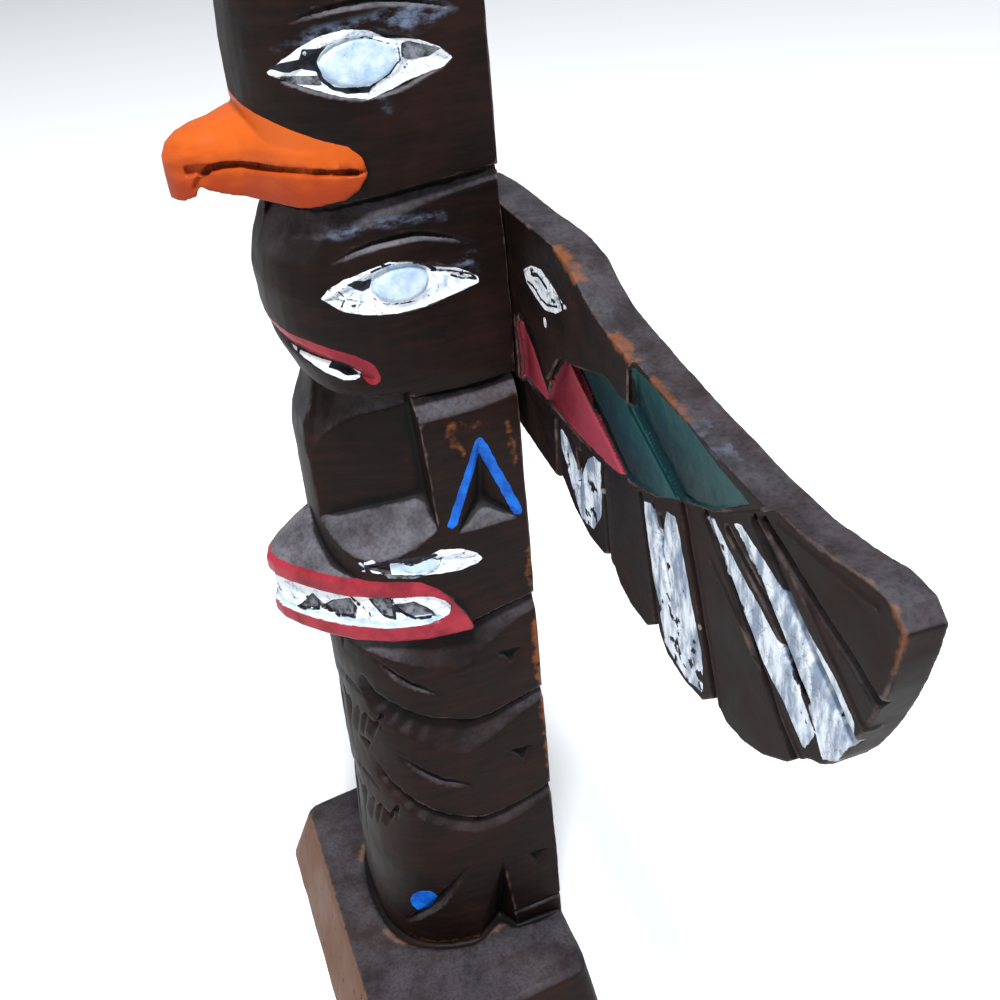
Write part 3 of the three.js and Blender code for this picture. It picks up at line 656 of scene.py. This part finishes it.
# %% The wing's eye and its worn places
wing_eye = [
    (40.7, 216.7), (46.5, 219.6), (52.4, 220.7), (57.6, 219.6), (62.6, 218.0), (67.4, 217.3),
    (60.1, 213.3), (53.1, 211.6), (46.9, 212.6), (42.2, 214.3),
]
wing_pen = [
    ([(46.0, 217.4), (50.0, 218.6), (55.5, 217.6)], 0.5),
    ([(42.9, 214.7), (46.8, 214.8), (50.8, 213.4), (55.0, 213.4), (61.0, 215.2)], 0.34),
    ([(62.6, 218.0), (64.8, 216.6)], 0.3),
]
wing_dab = oval((52.8, 208.6), 1.0, 1.2)
# A pale smear along the top of a covert: partly wiped paint, partly a painted highlight.
wing_smears_and_highlights = [([(122.0, 216.4), (136.0, 213.6)], 0.8)]
wing_wear = [
    ([(61.8, 228.4), (66.0, 227.8), (72.1, 224.5)], 0.9),
    ([(89.0, 219.6), (99.4, 218.0)], 0.5),
    ([(106.0, 217.4), (120.0, 215.6)], 0.3),
    ([(182.6, 215.2), (184.8, 213.4), (184.6, 206.0)], 0.6),
]
print("worn places on a wing", len(wing_wear))


# %% Carve a wing
wing_voxel = 0.4
carved_face_before = 30.0
worn_edge_before = 27.4


def face_view(piece, hand):
    points = places(piece)
    on_face = np.where(points[:, 1] < carved_face_before, most_depth, -most_depth)
    return np.stack([hand * points[:, 0], points[:, 2] - base_top], axis=1), on_face


def share_across(points, covert):
    inner = gap_to_line(points, covert["inner"])
    outer = gap_to_line(points, covert["outer"])
    return inner / (inner + outer)


def carve_wing(node, name, hand):
    wing = copy_of(node, name)
    melt(wing, wing_voxel, facet_axis=1, highest=math.inf, open_rounds=12)
    deepen_cuts(wing, depth=0.3)
    face, on_face = face_view(wing, hand)
    for number, covert in enumerate(coverts):
        within = soft_mask(common(inside(face, covert["outline"]), on_face), fade=0.4)
        press(wing, f"covert {number}", within * (1 - share_across(face, covert)), depth=1.2)
    gaps = common(any_stroke(face, feather_gaps), on_face)
    rims = common(any_stroke(face, feather_rims), on_face)
    press(wing, "feather gaps", soft_mask(gaps, fade=0.6), depth=1.1)
    press(wing, "feather rims", soft_mask(rims, fade=0.8), depth=-0.3)
    whittle(wing, "broad waves " + name, size=8.0, height=0.3)
    whittle(wing, "fine waves " + name, size=2.4, height=0.1)
    fine_paint = common(inside(face, wing_eye), on_face)
    finish_relief(wing, most_wing_triangles, soft_mask(fine_paint + fine_margin))
    return wing


# %% Paint a wing
def outlines_of(group):
    return [covert["outline"] for covert in group]


def paint_wing(wing, hand):
    face, on_face = face_view(wing, hand)
    feathers = without(any_inside(face, white_feathers), any_stroke(face, feather_gaps))
    eye = union(inside(face, wing_eye), inside(face, wing_dab))
    share = np.zeros(len(face))
    for covert in coverts:
        share = np.where(inside(face, covert["outline"]) > -0.3, share_across(face, covert), share)
    keep_attribute(wing, "white_paint", common(eye, on_face))
    keep_attribute(wing, "feather_paint", common(feathers, on_face))
    keep_attribute(wing, "black_paint", common(any_stroke(face, wing_pen), on_face))
    keep_attribute(wing, "red_paint", common(any_inside(face, outlines_of(red_coverts)), on_face))
    keep_attribute(wing, "green_paint", common(any_inside(face, outlines_of(green_coverts)), on_face))
    keep_attribute(wing, "lift", share)
    keep_attribute(wing, "low_end", smooth_step(186.0, 166.0, face[:, 1] + 0.12 * (face[:, 0] - 60)))
    keep_attribute(wing, "smear_and_highlight", common(any_stroke(face, wing_smears_and_highlights), on_face))
    before_edge = worn_edge_before - places(wing)[:, 1]
    keep_attribute(wing, "rust", common(any_stroke(face, wing_wear), before_edge))
    # The stain is shared with the pole and reads this mark too. A wing has no such place, so it says no.
    keep_attribute(wing, "worn", np.full(len(face), -most_depth))


# %% Dress both wings
near_wing = carve_wing("wing_left", "carved_wing_left", 1)
far_wing = carve_wing("wing_right", "carved_wing_right", -1)
paint_wing(near_wing, 1)
paint_wing(far_wing, -1)
print("wings painted")

# %% [markdown]
# Effects that several materials share are node groups: the stained wood with its brush marks, the dust
# that settles on surfaces facing up together with a painted sheen of light on them, the stain rubbed off
# along ridges, a patch of brushed paint, and the fine broken lines left by the bristles. Each gives only
# colours, masks and heights. The shader itself stays in the material.


# %% Tools for building node trees
def new_group(name, inputs, outputs):
    group = bpy.data.node_groups.new(name, "ShaderNodeTree")
    for label, kind, value in inputs:
        socket = group.interface.new_socket(name=label, in_out="INPUT", socket_type=kind)
        if value is not None:
            socket.default_value = value
    for label, kind in outputs:
        group.interface.new_socket(name=label, in_out="OUTPUT", socket_type=kind)
    return group, group.nodes.new("NodeGroupInput"), group.nodes.new("NodeGroupOutput")


def plug(tree, socket, value):
    if isinstance(value, bpy.types.NodeSocket):
        tree.links.new(value, socket)
    else:
        socket.default_value = value


def add(tree, kind, links=None, **settings):
    node = tree.nodes.new(kind)
    for setting, value in settings.items():
        setattr(node, setting, value)
    for socket, value in (links or {}).items():
        plug(tree, node.inputs[socket], value)
    return node


def place_group(tree, group, links):
    return add(tree, "ShaderNodeGroup", links, node_tree=group).outputs


# %% Small node recipes
def sums(tree, operation, *values, clamp=False):
    node = add(tree, "ShaderNodeMath", dict(enumerate(values)), operation=operation, use_clamp=clamp)
    return node.outputs[0]


def ramp(tree, value, low, high, to_low=0.0, to_high=1.0):
    links = {"Value": value, "From Min": low, "From Max": high, "To Min": to_low, "To Max": to_high}
    return add(tree, "ShaderNodeMapRange", links, interpolation_type="SMOOTHSTEP").outputs["Result"]


def mix(tree, factor, first, second):
    node = tree.nodes.new("ShaderNodeMix")
    node.data_type = "RGBA"
    colours = [socket for socket in node.inputs if socket.type == "RGBA"]
    for socket, value in zip([node.inputs[0], *colours], (factor, first, second)):
        plug(tree, socket, value)
    return next(socket for socket in node.outputs if socket.type == "RGBA")


def object_points(tree, stretch=(1, 1, 1)):
    points = tree.nodes.new("ShaderNodeTexCoord").outputs["Object"]
    return add(tree, "ShaderNodeMapping", {"Vector": points, "Scale": stretch}).outputs[0]


def noise(tree, points, scale, detail=3.0, roughness=0.55):
    links = {"Vector": points, "Scale": scale, "Detail": detail, "Roughness": roughness}
    return add(tree, "ShaderNodeTexNoise", links).outputs["Fac"]


def attribute(tree, name):
    return add(tree, "ShaderNodeAttribute", attribute_name=name).outputs["Fac"]


def colour(red, green, blue):
    return (red, green, blue, 1.0)


# %% Stained wood, brushed in a chosen direction
stain, stain_in, stain_out = new_group(
    "stained wood",
    [
        ("Brushing", "NodeSocketVector", (1, 1, 1)),
        ("Dark", "NodeSocketColor", None),
        ("Light", "NodeSocketColor", None),
    ],
    [("Colour", "NodeSocketColor"), ("Height", "NodeSocketFloat"), ("Roughness", "NodeSocketFloat")],
)
stain_points = object_points(stain)
brush_links = {0: stain_points, 1: stain_in.outputs["Brushing"]}
brush_points = add(stain, "ShaderNodeVectorMath", brush_links, operation="MULTIPLY").outputs[0]
bristles = noise(stain, brush_points, 1.0, 5.0, 0.65)
blotches = noise(stain, stain_points, 38.0, 4.0, 0.6)
fine_tone = ramp(stain, bristles, 0.35, 0.75, 0.0, 0.55)
tone = sums(stain, "ADD", fine_tone, ramp(stain, blotches, 0.35, 0.75, -0.15, 0.6), clamp=True)
stain_colour = mix(stain, tone, stain_in.outputs["Dark"], stain_in.outputs["Light"])
stain.links.new(stain_colour, stain_out.inputs["Colour"])
stain.links.new(bristles, stain_out.inputs["Height"])
stain_roughness = ramp(stain, blotches, 0.3, 0.75, 0.46, 0.66)
stain.links.new(stain_roughness, stain_out.inputs["Roughness"])

# %% Rare pale specks
specks, specks_in, specks_out = new_group(
    "pale specks",
    [("Size", "NodeSocketFloat", 150.0), ("Share", "NodeSocketFloat", 0.05)],
    [("Mask", "NodeSocketFloat")],
)
speck_links = {"Vector": object_points(specks), "Scale": specks_in.outputs["Size"]}
speck_cells = add(specks, "ShaderNodeTexVoronoi", speck_links, feature="F1")
speck_channels = add(specks, "ShaderNodeSeparateColor", {0: speck_cells.outputs["Color"]})
chosen = sums(specks, "LESS_THAN", speck_channels.outputs[0], specks_in.outputs["Share"])
speck_radius = ramp(specks, speck_channels.outputs[1], 0.0, 1.0, 0.05, 0.14)
dot = sums(specks, "LESS_THAN", speck_cells.outputs["Distance"], speck_radius)
specks.links.new(sums(specks, "MULTIPLY", chosen, dot), specks_out.inputs["Mask"])

# %% Dust that settles on what faces up, with a painted sheen of light on it
dust_and_sheen, dust_and_sheen_in, dust_and_sheen_out = new_group(
    "settled dust", [("Amount", "NodeSocketFloat", 1.0)], [("Mask", "NodeSocketFloat")]
)
normal = dust_and_sheen.nodes.new("ShaderNodeNewGeometry").outputs["Normal"]
upward = add(dust_and_sheen, "ShaderNodeSeparateXYZ", {0: normal}).outputs["Z"]
clouds = ramp(dust_and_sheen, noise(dust_and_sheen, object_points(dust_and_sheen), 90.0, 4.0, 0.6), 0.3, 0.68, 0.35, 1.0)
grains = ramp(dust_and_sheen, noise(dust_and_sheen, object_points(dust_and_sheen), 900.0, 3.0, 0.7), 0.3, 0.6, 0.6, 1.0)
lying = sums(dust_and_sheen, "MULTIPLY", ramp(dust_and_sheen, upward, 0.22, 0.95), sums(dust_and_sheen, "MULTIPLY", clouds, grains))
dust_and_sheen_mask = sums(dust_and_sheen, "MULTIPLY", lying, dust_and_sheen_in.outputs["Amount"], clamp=True)
dust_and_sheen.links.new(dust_and_sheen_mask, dust_and_sheen_out.inputs["Mask"])

# %% Stain rubbed off along ridges
rub, rub_in, rub_out = new_group(
    "rubbed ridges",
    [
        ("Ridge", "NodeSocketFloat", 0.0),
        ("Start", "NodeSocketFloat", 0.1),
        ("Amount", "NodeSocketFloat", 1.0),
    ],
    [("Mask", "NodeSocketFloat")],
)
rub_spots = ramp(rub, noise(rub, object_points(rub), 130.0, 4.0, 0.7), 0.38, 0.62)
above_start = sums(rub, "SUBTRACT", rub_in.outputs["Ridge"], rub_in.outputs["Start"])
on_ridge = sums(rub, "MULTIPLY", above_start, 14.0, clamp=True)
rub_mask = sums(rub, "MULTIPLY", on_ridge, sums(rub, "MULTIPLY", rub_spots, rub_in.outputs["Amount"]))
rub.links.new(rub_mask, rub_out.inputs["Mask"])

# %% A patch of brushed paint with wobbling, chipped edges
patch, patch_in, patch_out = new_group(
    "painted patch",
    [
        ("Inside", "NodeSocketFloat", 0.0),
        ("Wobble", "NodeSocketFloat", 0.5),
        ("Softness", "NodeSocketFloat", 0.08),
        ("Chipping", "NodeSocketFloat", 0.1),
        ("Chip size", "NodeSocketFloat", 400.0),
    ],
    [("Mask", "NodeSocketFloat")],
)
patch_points = object_points(patch)
wobble = sums(patch, "SUBTRACT", noise(patch, patch_points, 420.0), 0.5)
edge = sums(patch, "MULTIPLY_ADD", wobble, patch_in.outputs["Wobble"], patch_in.outputs["Inside"])
outer_end = sums(patch, "MULTIPLY", patch_in.outputs["Softness"], -1.0)
covered = ramp(patch, edge, outer_end, patch_in.outputs["Softness"])
chips = noise(patch, patch_points, patch_in.outputs["Chip size"], 4.0, 0.6)
whole = ramp(patch, sums(patch, "SUBTRACT", chips, patch_in.outputs["Chipping"]), -0.015, 0.015)
patch.links.new(sums(patch, "MULTIPLY", covered, whole), patch_out.inputs["Mask"])

# %% Fine broken lines
lines, lines_in, lines_out = new_group(
    "fine broken lines",
    [("Size", "NodeSocketFloat", 300.0), ("Amount", "NodeSocketFloat", 0.5)],
    [("Mask", "NodeSocketFloat")],
)
line_points = object_points(lines, (1, 1, 1.8))
bent = noise(lines, line_points, 260.0, 2.0)
bend_links = {0: bent, 1: (0.009, 0.009, 0.009), 2: line_points}
bent_points = add(lines, "ShaderNodeVectorMath", bend_links, operation="MULTIPLY_ADD")
cell_links = {"Vector": bent_points.outputs[0], "Scale": lines_in.outputs["Size"]}
cells = add(lines, "ShaderNodeTexVoronoi", cell_links, feature="DISTANCE_TO_EDGE").outputs["Distance"]
thin = ramp(lines, cells, 0.02, 0.07, 1.0, 0.0)
broken = ramp(lines, noise(lines, object_points(lines), 210.0, 3.0), 0.50, 0.60)
line_mask = sums(lines, "MULTIPLY", sums(lines, "MULTIPLY", thin, broken), lines_in.outputs["Amount"])
lines.links.new(line_mask, lines_out.inputs["Mask"])
print("node groups", [group.name for group in bpy.data.node_groups])

# %% [markdown]
# A material starts from the stained wood: painted shade where it lies deep, rubbed bare on ridges, dusty
# and given a painted sheen where it faces up. The paints are laid over it in the painter's order, each as
# a pair of colours that a brush noise or a measured attribute mixes, with its own roughness and its own
# share of chips; on the beak and on the coverts that mix paints light and shade. Paint in a hollow gets
# painted shade, and paint is a little thicker than the wood around it, which the bump shows.

# %% Colours of the bare wood
# Bluish grey of dust with a painted sheen of the cool light on it.
dust_and_sheen_grey = colour(0.150, 0.143, 0.163)
# Near black, used for the painted shade in cuts and hollows and for the fine broken lines in the paint.
shade_and_crack_black = colour(0.0020, 0.0016, 0.0018)
worn_tan = colour(0.17, 0.115, 0.09)
rusty_wood = colour(0.24, 0.075, 0.020)
brown_wood = colour(0.155, 0.070, 0.036)
smear_and_highlight_blue = colour(0.20, 0.26, 0.38)
speck_grey = colour(0.30, 0.27, 0.26)
dark_stain = colour(0.0050, 0.0022, 0.0018)
light_stain = colour(0.0185, 0.0066, 0.0044)
print("stain from", dark_stain[:3], "to", light_stain[:3])


# %% How far the wood is worn, dusty with a painted sheen, and painted dark in its cuts
worn_edge = {"Wobble": 3.0, "Softness": 0.8, "Chipping": 0.33, "Chip size": 240.0}
rust_edge = {"Wobble": 4.0, "Softness": 0.9, "Chipping": 0.4, "Chip size": 160.0}
# Dust with its painted sheen: the least of it, and how it grows with height.
least_dust_and_sheen = 0.32
dust_and_sheen_from = 60 * mm
dust_and_sheen_to = 165 * mm
# Painted shade in the cuts: where it starts and is full on the hollow measure, and how dark it gets.
cut_shade_from = 0.18
cut_shade_full = 0.65
cut_shade_most = 0.92
grain_height = 0.35
print("dust grows from", dust_and_sheen_from, "to", dust_and_sheen_to)


# %% Worn stain under the paint, with painted shade in its cuts, painted sheen and painted highlights
def wear_patch(tree, surface, name, wear_colour, edge_look, strength):
    mask = place_group(tree, patch, {"Inside": attribute(tree, name), **edge_look})["Mask"]
    return mix(tree, sums(tree, "MULTIPLY", mask, strength), surface, wear_colour)


def stain_wear_and_painted_light(tree, brushing, most_dust_and_sheen):
    wood = place_group(tree, stain, {"Brushing": brushing, "Dark": dark_stain, "Light": light_stain})
    surface = wear_patch(tree, wood["Colour"], "worn", brown_wood, worn_edge, 0.72)
    height = add(tree, "ShaderNodeSeparateXYZ", {0: object_points(tree)}).outputs["Z"]
    dust_and_sheen_amount = ramp(tree, height, dust_and_sheen_from, dust_and_sheen_to, least_dust_and_sheen, most_dust_and_sheen)
    # Dust and a painted sheen of light on what faces up, more of both higher up.
    surface = mix(tree, place_group(tree, dust_and_sheen, {"Amount": dust_and_sheen_amount})["Mask"], surface, dust_and_sheen_grey)
    # Painted shade: the wood is darkened towards black where it lies deep in a cut.
    painted_cut_shade = ramp(tree, attribute(tree, "hollow"), cut_shade_from, cut_shade_full, 0.0, cut_shade_most)
    surface = mix(tree, painted_cut_shade, surface, shade_and_crack_black)
    rub_links = {"Ridge": attribute(tree, "ridge"), "Start": 0.08, "Amount": 0.5}
    surface = mix(tree, place_group(tree, rub, rub_links)["Mask"], surface, worn_tan)
    surface = wear_patch(tree, surface, "rust", rusty_wood, rust_edge, 0.6)
    speck_mask = place_group(tree, specks, {"Size": 170.0, "Share": 0.035})["Mask"]
    surface = mix(tree, sums(tree, "MULTIPLY", speck_mask, 0.6), surface, speck_grey)
    # Pale smears: partly wiped white paint, partly painted highlights of the cool light.
    smear_and_highlight_mask = ramp(tree, attribute(tree, "smear_and_highlight"), -0.8, 1.6)
    streaky_cover = ramp(tree, noise(tree, object_points(tree, (1, 1, 2.2)), 190.0, 5.0, 0.7), 0.42, 0.72, 0.0, 0.55)
    surface = mix(tree, sums(tree, "MULTIPLY", smear_and_highlight_mask, streaky_cover), surface, smear_and_highlight_blue)
    return surface, wood["Roughness"], sums(tree, "MULTIPLY", wood["Height"], grain_height)


# %% One layer of paint
# Painted shade on paint that lies in a hollow: where it starts and where it is full.
dirt_from = 0.5
dirt_full = 1.6
thin_coat = 0.3
brush_ridge = 0.25


def lay_paint(tree, surface, roughness, height, layer):
    links = {"Inside": attribute(tree, layer["attribute"]), "Wobble": layer["wobble"]}
    links["Chipping"] = layer["chipping"](tree) if callable(layer["chipping"]) else layer["chipping"]
    links["Chip size"] = layer["chip_size"]
    mask = place_group(tree, patch, links)["Mask"]
    blend = layer["blend"](tree)
    tinted = mix(tree, blend, layer["shade"], layer["tint"])
    line_links = {"Size": layer["line_size"], "Amount": layer["lines"]}
    tinted = mix(tree, place_group(tree, lines, line_links)["Mask"], tinted, shade_and_crack_black)
    # Painted shade: paint lying deep in a hollow is darkened towards black.
    dirt = ramp(tree, attribute(tree, "hollow"), dirt_from, dirt_full, 0.0, layer["dirt"])
    tinted = mix(tree, dirt, tinted, shade_and_crack_black)
    surface = mix(tree, mask, surface, tinted)
    roughness_step = sums(tree, "SUBTRACT", layer["roughness"], roughness)
    roughness = sums(tree, "MULTIPLY_ADD", mask, roughness_step, roughness)
    thickness = sums(tree, "MULTIPLY_ADD", blend, brush_ridge, thin_coat)
    height = sums(tree, "MULTIPLY_ADD", mask, thickness, height)
    return surface, roughness, height


# %% The whole finish: worn stain with painted light and shade, paints in order, and a bump
bump_distance = 0.22 * mm
bump_strength = 0.7
sheen = 0.11


def painted_wood(name, brushing, most_dust_and_sheen, layers):
    material = bpy.data.materials.new(name)
    material.use_nodes = True
    tree = material.node_tree
    shader = tree.nodes["Principled BSDF"]
    surface, roughness, height = stain_wear_and_painted_light(tree, brushing, most_dust_and_sheen)
    for layer in layers:
        surface, roughness, height = lay_paint(tree, surface, roughness, height, layer)
    bump_links = {"Height": height, "Distance": bump_distance, "Strength": bump_strength}
    bump = add(tree, "ShaderNodeBump", bump_links)
    tree.links.new(surface, shader.inputs["Base Color"])
    tree.links.new(roughness, shader.inputs["Roughness"])
    tree.links.new(bump.outputs["Normal"], shader.inputs["Normal"])
    shader.inputs["Specular IOR Level"].default_value = sheen
    return material


# %% How two tones of a paint are mixed
def brushed_by(scale, low=0.35, high=0.65, stretch=(1, 1, 1)):
    return lambda tree: ramp(tree, noise(tree, object_points(tree, stretch), scale, 4.0, 0.65), low, high)


# Lighter towards the top and darker towards the bottom: painted light from above and painted shade below.
def painted_light_by_height(low, high):
    def blend(tree):
        height = add(tree, "ShaderNodeSeparateXYZ", {0: object_points(tree)}).outputs["Z"]
        brush = noise(tree, object_points(tree, (1, 1, 3)), 120.0, 4.0)
        height = sums(tree, "ADD", height, sums(tree, "MULTIPLY_ADD", brush, 0.012, -0.006))
        return ramp(tree, height, (base_top + low) * mm, (base_top + high) * mm)
    return blend


# Each covert is painted lighter at its raised outer edge and darker at its sunk inner edge: a painted
# highlight and painted shade.
def painted_light_by_lift(tree):
    brush = noise(tree, object_points(tree, (1, 1, 2.5)), 150.0)
    level = sums(tree, "MULTIPLY_ADD", brush, 0.6, attribute(tree, "lift"))
    return ramp(tree, level, 0.4, 1.3)


def more_at_low_end(tree):
    return sums(tree, "MULTIPLY_ADD", attribute(tree, "low_end"), 0.12, 0.33)


# %% The paints
plain_paint = {"wobble": 0.5, "chip_size": 300.0, "dirt": 0.6, "lines": 0.0, "line_size": 300.0}


def paint(name, tint, shade, roughness, chipping, blend, **more):
    layer = {"attribute": name, "tint": tint, "shade": shade, "roughness": roughness}
    return {**plain_paint, **layer, "chipping": chipping, "blend": blend, **more}


snow, shadow_blue = colour(0.72, 0.76, 0.80), colour(0.36, 0.44, 0.56)
ink, soft_ink = colour(0.004, 0.004, 0.006), colour(0.018, 0.020, 0.030)
clean_brush = brushed_by(330.0, 0.30, 0.50)
pole_paints = [
    paint("white_paint", snow, shadow_blue, 0.32, 0.33, clean_brush, chip_size=380.0, lines=0.5),
    paint(
        "grey_paint_and_socket_shade", colour(0.19, 0.195, 0.22), colour(0.015, 0.016, 0.02), 0.35, 0.2, brushed_by(420.0)
    ),
    paint(
        "pale_paint", colour(0.55, 0.65, 0.71), colour(0.32, 0.43, 0.59), 0.28, 0.24, brushed_by(160.0),
        lines=0.12,
    ),
    paint("black_paint", soft_ink, ink, 0.25, 0.33, brushed_by(300.0), chip_size=500.0),
    paint(
        "red_paint", colour(0.30, 0.026, 0.040), colour(0.17, 0.012, 0.020), 0.38, 0.2, brushed_by(90.0),
        dirt=0.3,
    ),
    # The beak's orange is painted lighter on top and darker below: painted light and shade.
    paint(
        "orange_paint", colour(0.50, 0.088, 0.010), colour(0.25, 0.028, 0.005), 0.42, 0.16,
        painted_light_by_height(236.0, 250.0),
    ),
    paint(
        "blue_paint", colour(0.006, 0.135, 0.56), colour(0.003, 0.06, 0.34), 0.25, 0.14,
        brushed_by(200.0), wobble=0.8,
    ),
]
wing_paints = [
    paint(
        "feather_paint", colour(0.72, 0.79, 0.86), colour(0.20, 0.26, 0.36), 0.34, more_at_low_end,
        brushed_by(260.0, 0.38, 0.60, (1, 1, 0.35)), chip_size=260.0, wobble=0.9, lines=0.4,
    ),
    paint("white_paint", snow, shadow_blue, 0.3, 0.38, clean_brush, lines=0.7),
    paint("black_paint", soft_ink, ink, 0.25, 0.2, brushed_by(300.0)),
    # Red and green coverts: painted highlight on the raised edge, painted shade on the sunk one.
    paint("red_paint", colour(0.32, 0.040, 0.062), colour(0.13, 0.012, 0.022), 0.4, 0.2, painted_light_by_lift),
    paint("green_paint", colour(0.009, 0.058, 0.060), colour(0.003, 0.018, 0.022), 0.34, 0.2, painted_light_by_lift),
]
print("paints", len(pole_paints), "on the pole,", len(wing_paints), "on a wing")

# %% Materials of the pole and the wings
pole_wood = painted_wood("pole wood", (70.0, 70.0, 520.0), 0.95, pole_paints)
wing_wood = painted_wood("wing wood", (60.0, 300.0, 300.0), 0.36, wing_paints)


def finish_piece(piece, node, material):
    piece.data.materials.clear()
    piece.data.materials.append(material)
    choose(piece)
    bpy.ops.object.shade_smooth()
    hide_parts(node)
    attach(piece, "root")


finish_piece(pole, "pole", pole_wood)
finish_piece(near_wing, "wing_left", wing_wood)
finish_piece(far_wing, "wing_right", wing_wood)
print("materials", pole_wood.name, wing_wood.name)

# %% [markdown]
# The object stands on a plain pale floor in soft light, as on a table by a window: one cool light high on
# the camera's side, which lights the ledges and leaves the cuts under the bands in shade, a much weaker
# warm one from the front, and a pale world.

# %% Floor
floor_size = 12.0
bpy.ops.object.select_all(action="DESELECT")
bpy.ops.mesh.primitive_plane_add(size=floor_size, location=(0, 0, 0))
floor = bpy.context.active_object
floor.name = "floor"
floor_finish = bpy.data.materials.new("pale floor")
floor_finish.use_nodes = True
floor_shader = floor_finish.node_tree.nodes["Principled BSDF"]
floor_shader.inputs["Base Color"].default_value = colour(0.92, 0.92, 0.92)
floor_shader.inputs["Roughness"].default_value = 0.9
floor.data.materials.append(floor_finish)
print("floor", tuple(floor.dimensions))


# %% Lights
lit_point = Vector((0, 0, 0.17))


def soft_light(name, place, size, power, tint):
    data = bpy.data.lights.new(name, "AREA")
    data.shape = "DISK"
    data.size = size
    data.energy = power
    data.color = tint
    light = bpy.data.objects.new(name, data)
    scene.collection.objects.link(light)
    light.location = place
    light.rotation_euler = (lit_point - Vector(place)).to_track_quat("-Z", "Y").to_euler()


soft_light("window light", (1.20, -0.25, 2.90), 0.6, 160.0, (0.92, 0.96, 1.0))
soft_light("front light", (0.25, -1.30, 0.55), 0.5, 3.0, (1.0, 0.86, 0.70))
world = bpy.data.worlds.new("pale world")
scene.world = world
world.use_nodes = True
world.node_tree.nodes["Background"].inputs["Color"].default_value = colour(0.92, 0.95, 1.0)
world.node_tree.nodes["Background"].inputs["Strength"].default_value = 0.32
scene.view_settings.view_transform = "Standard"
print("lights", [item.name for item in bpy.data.lights])
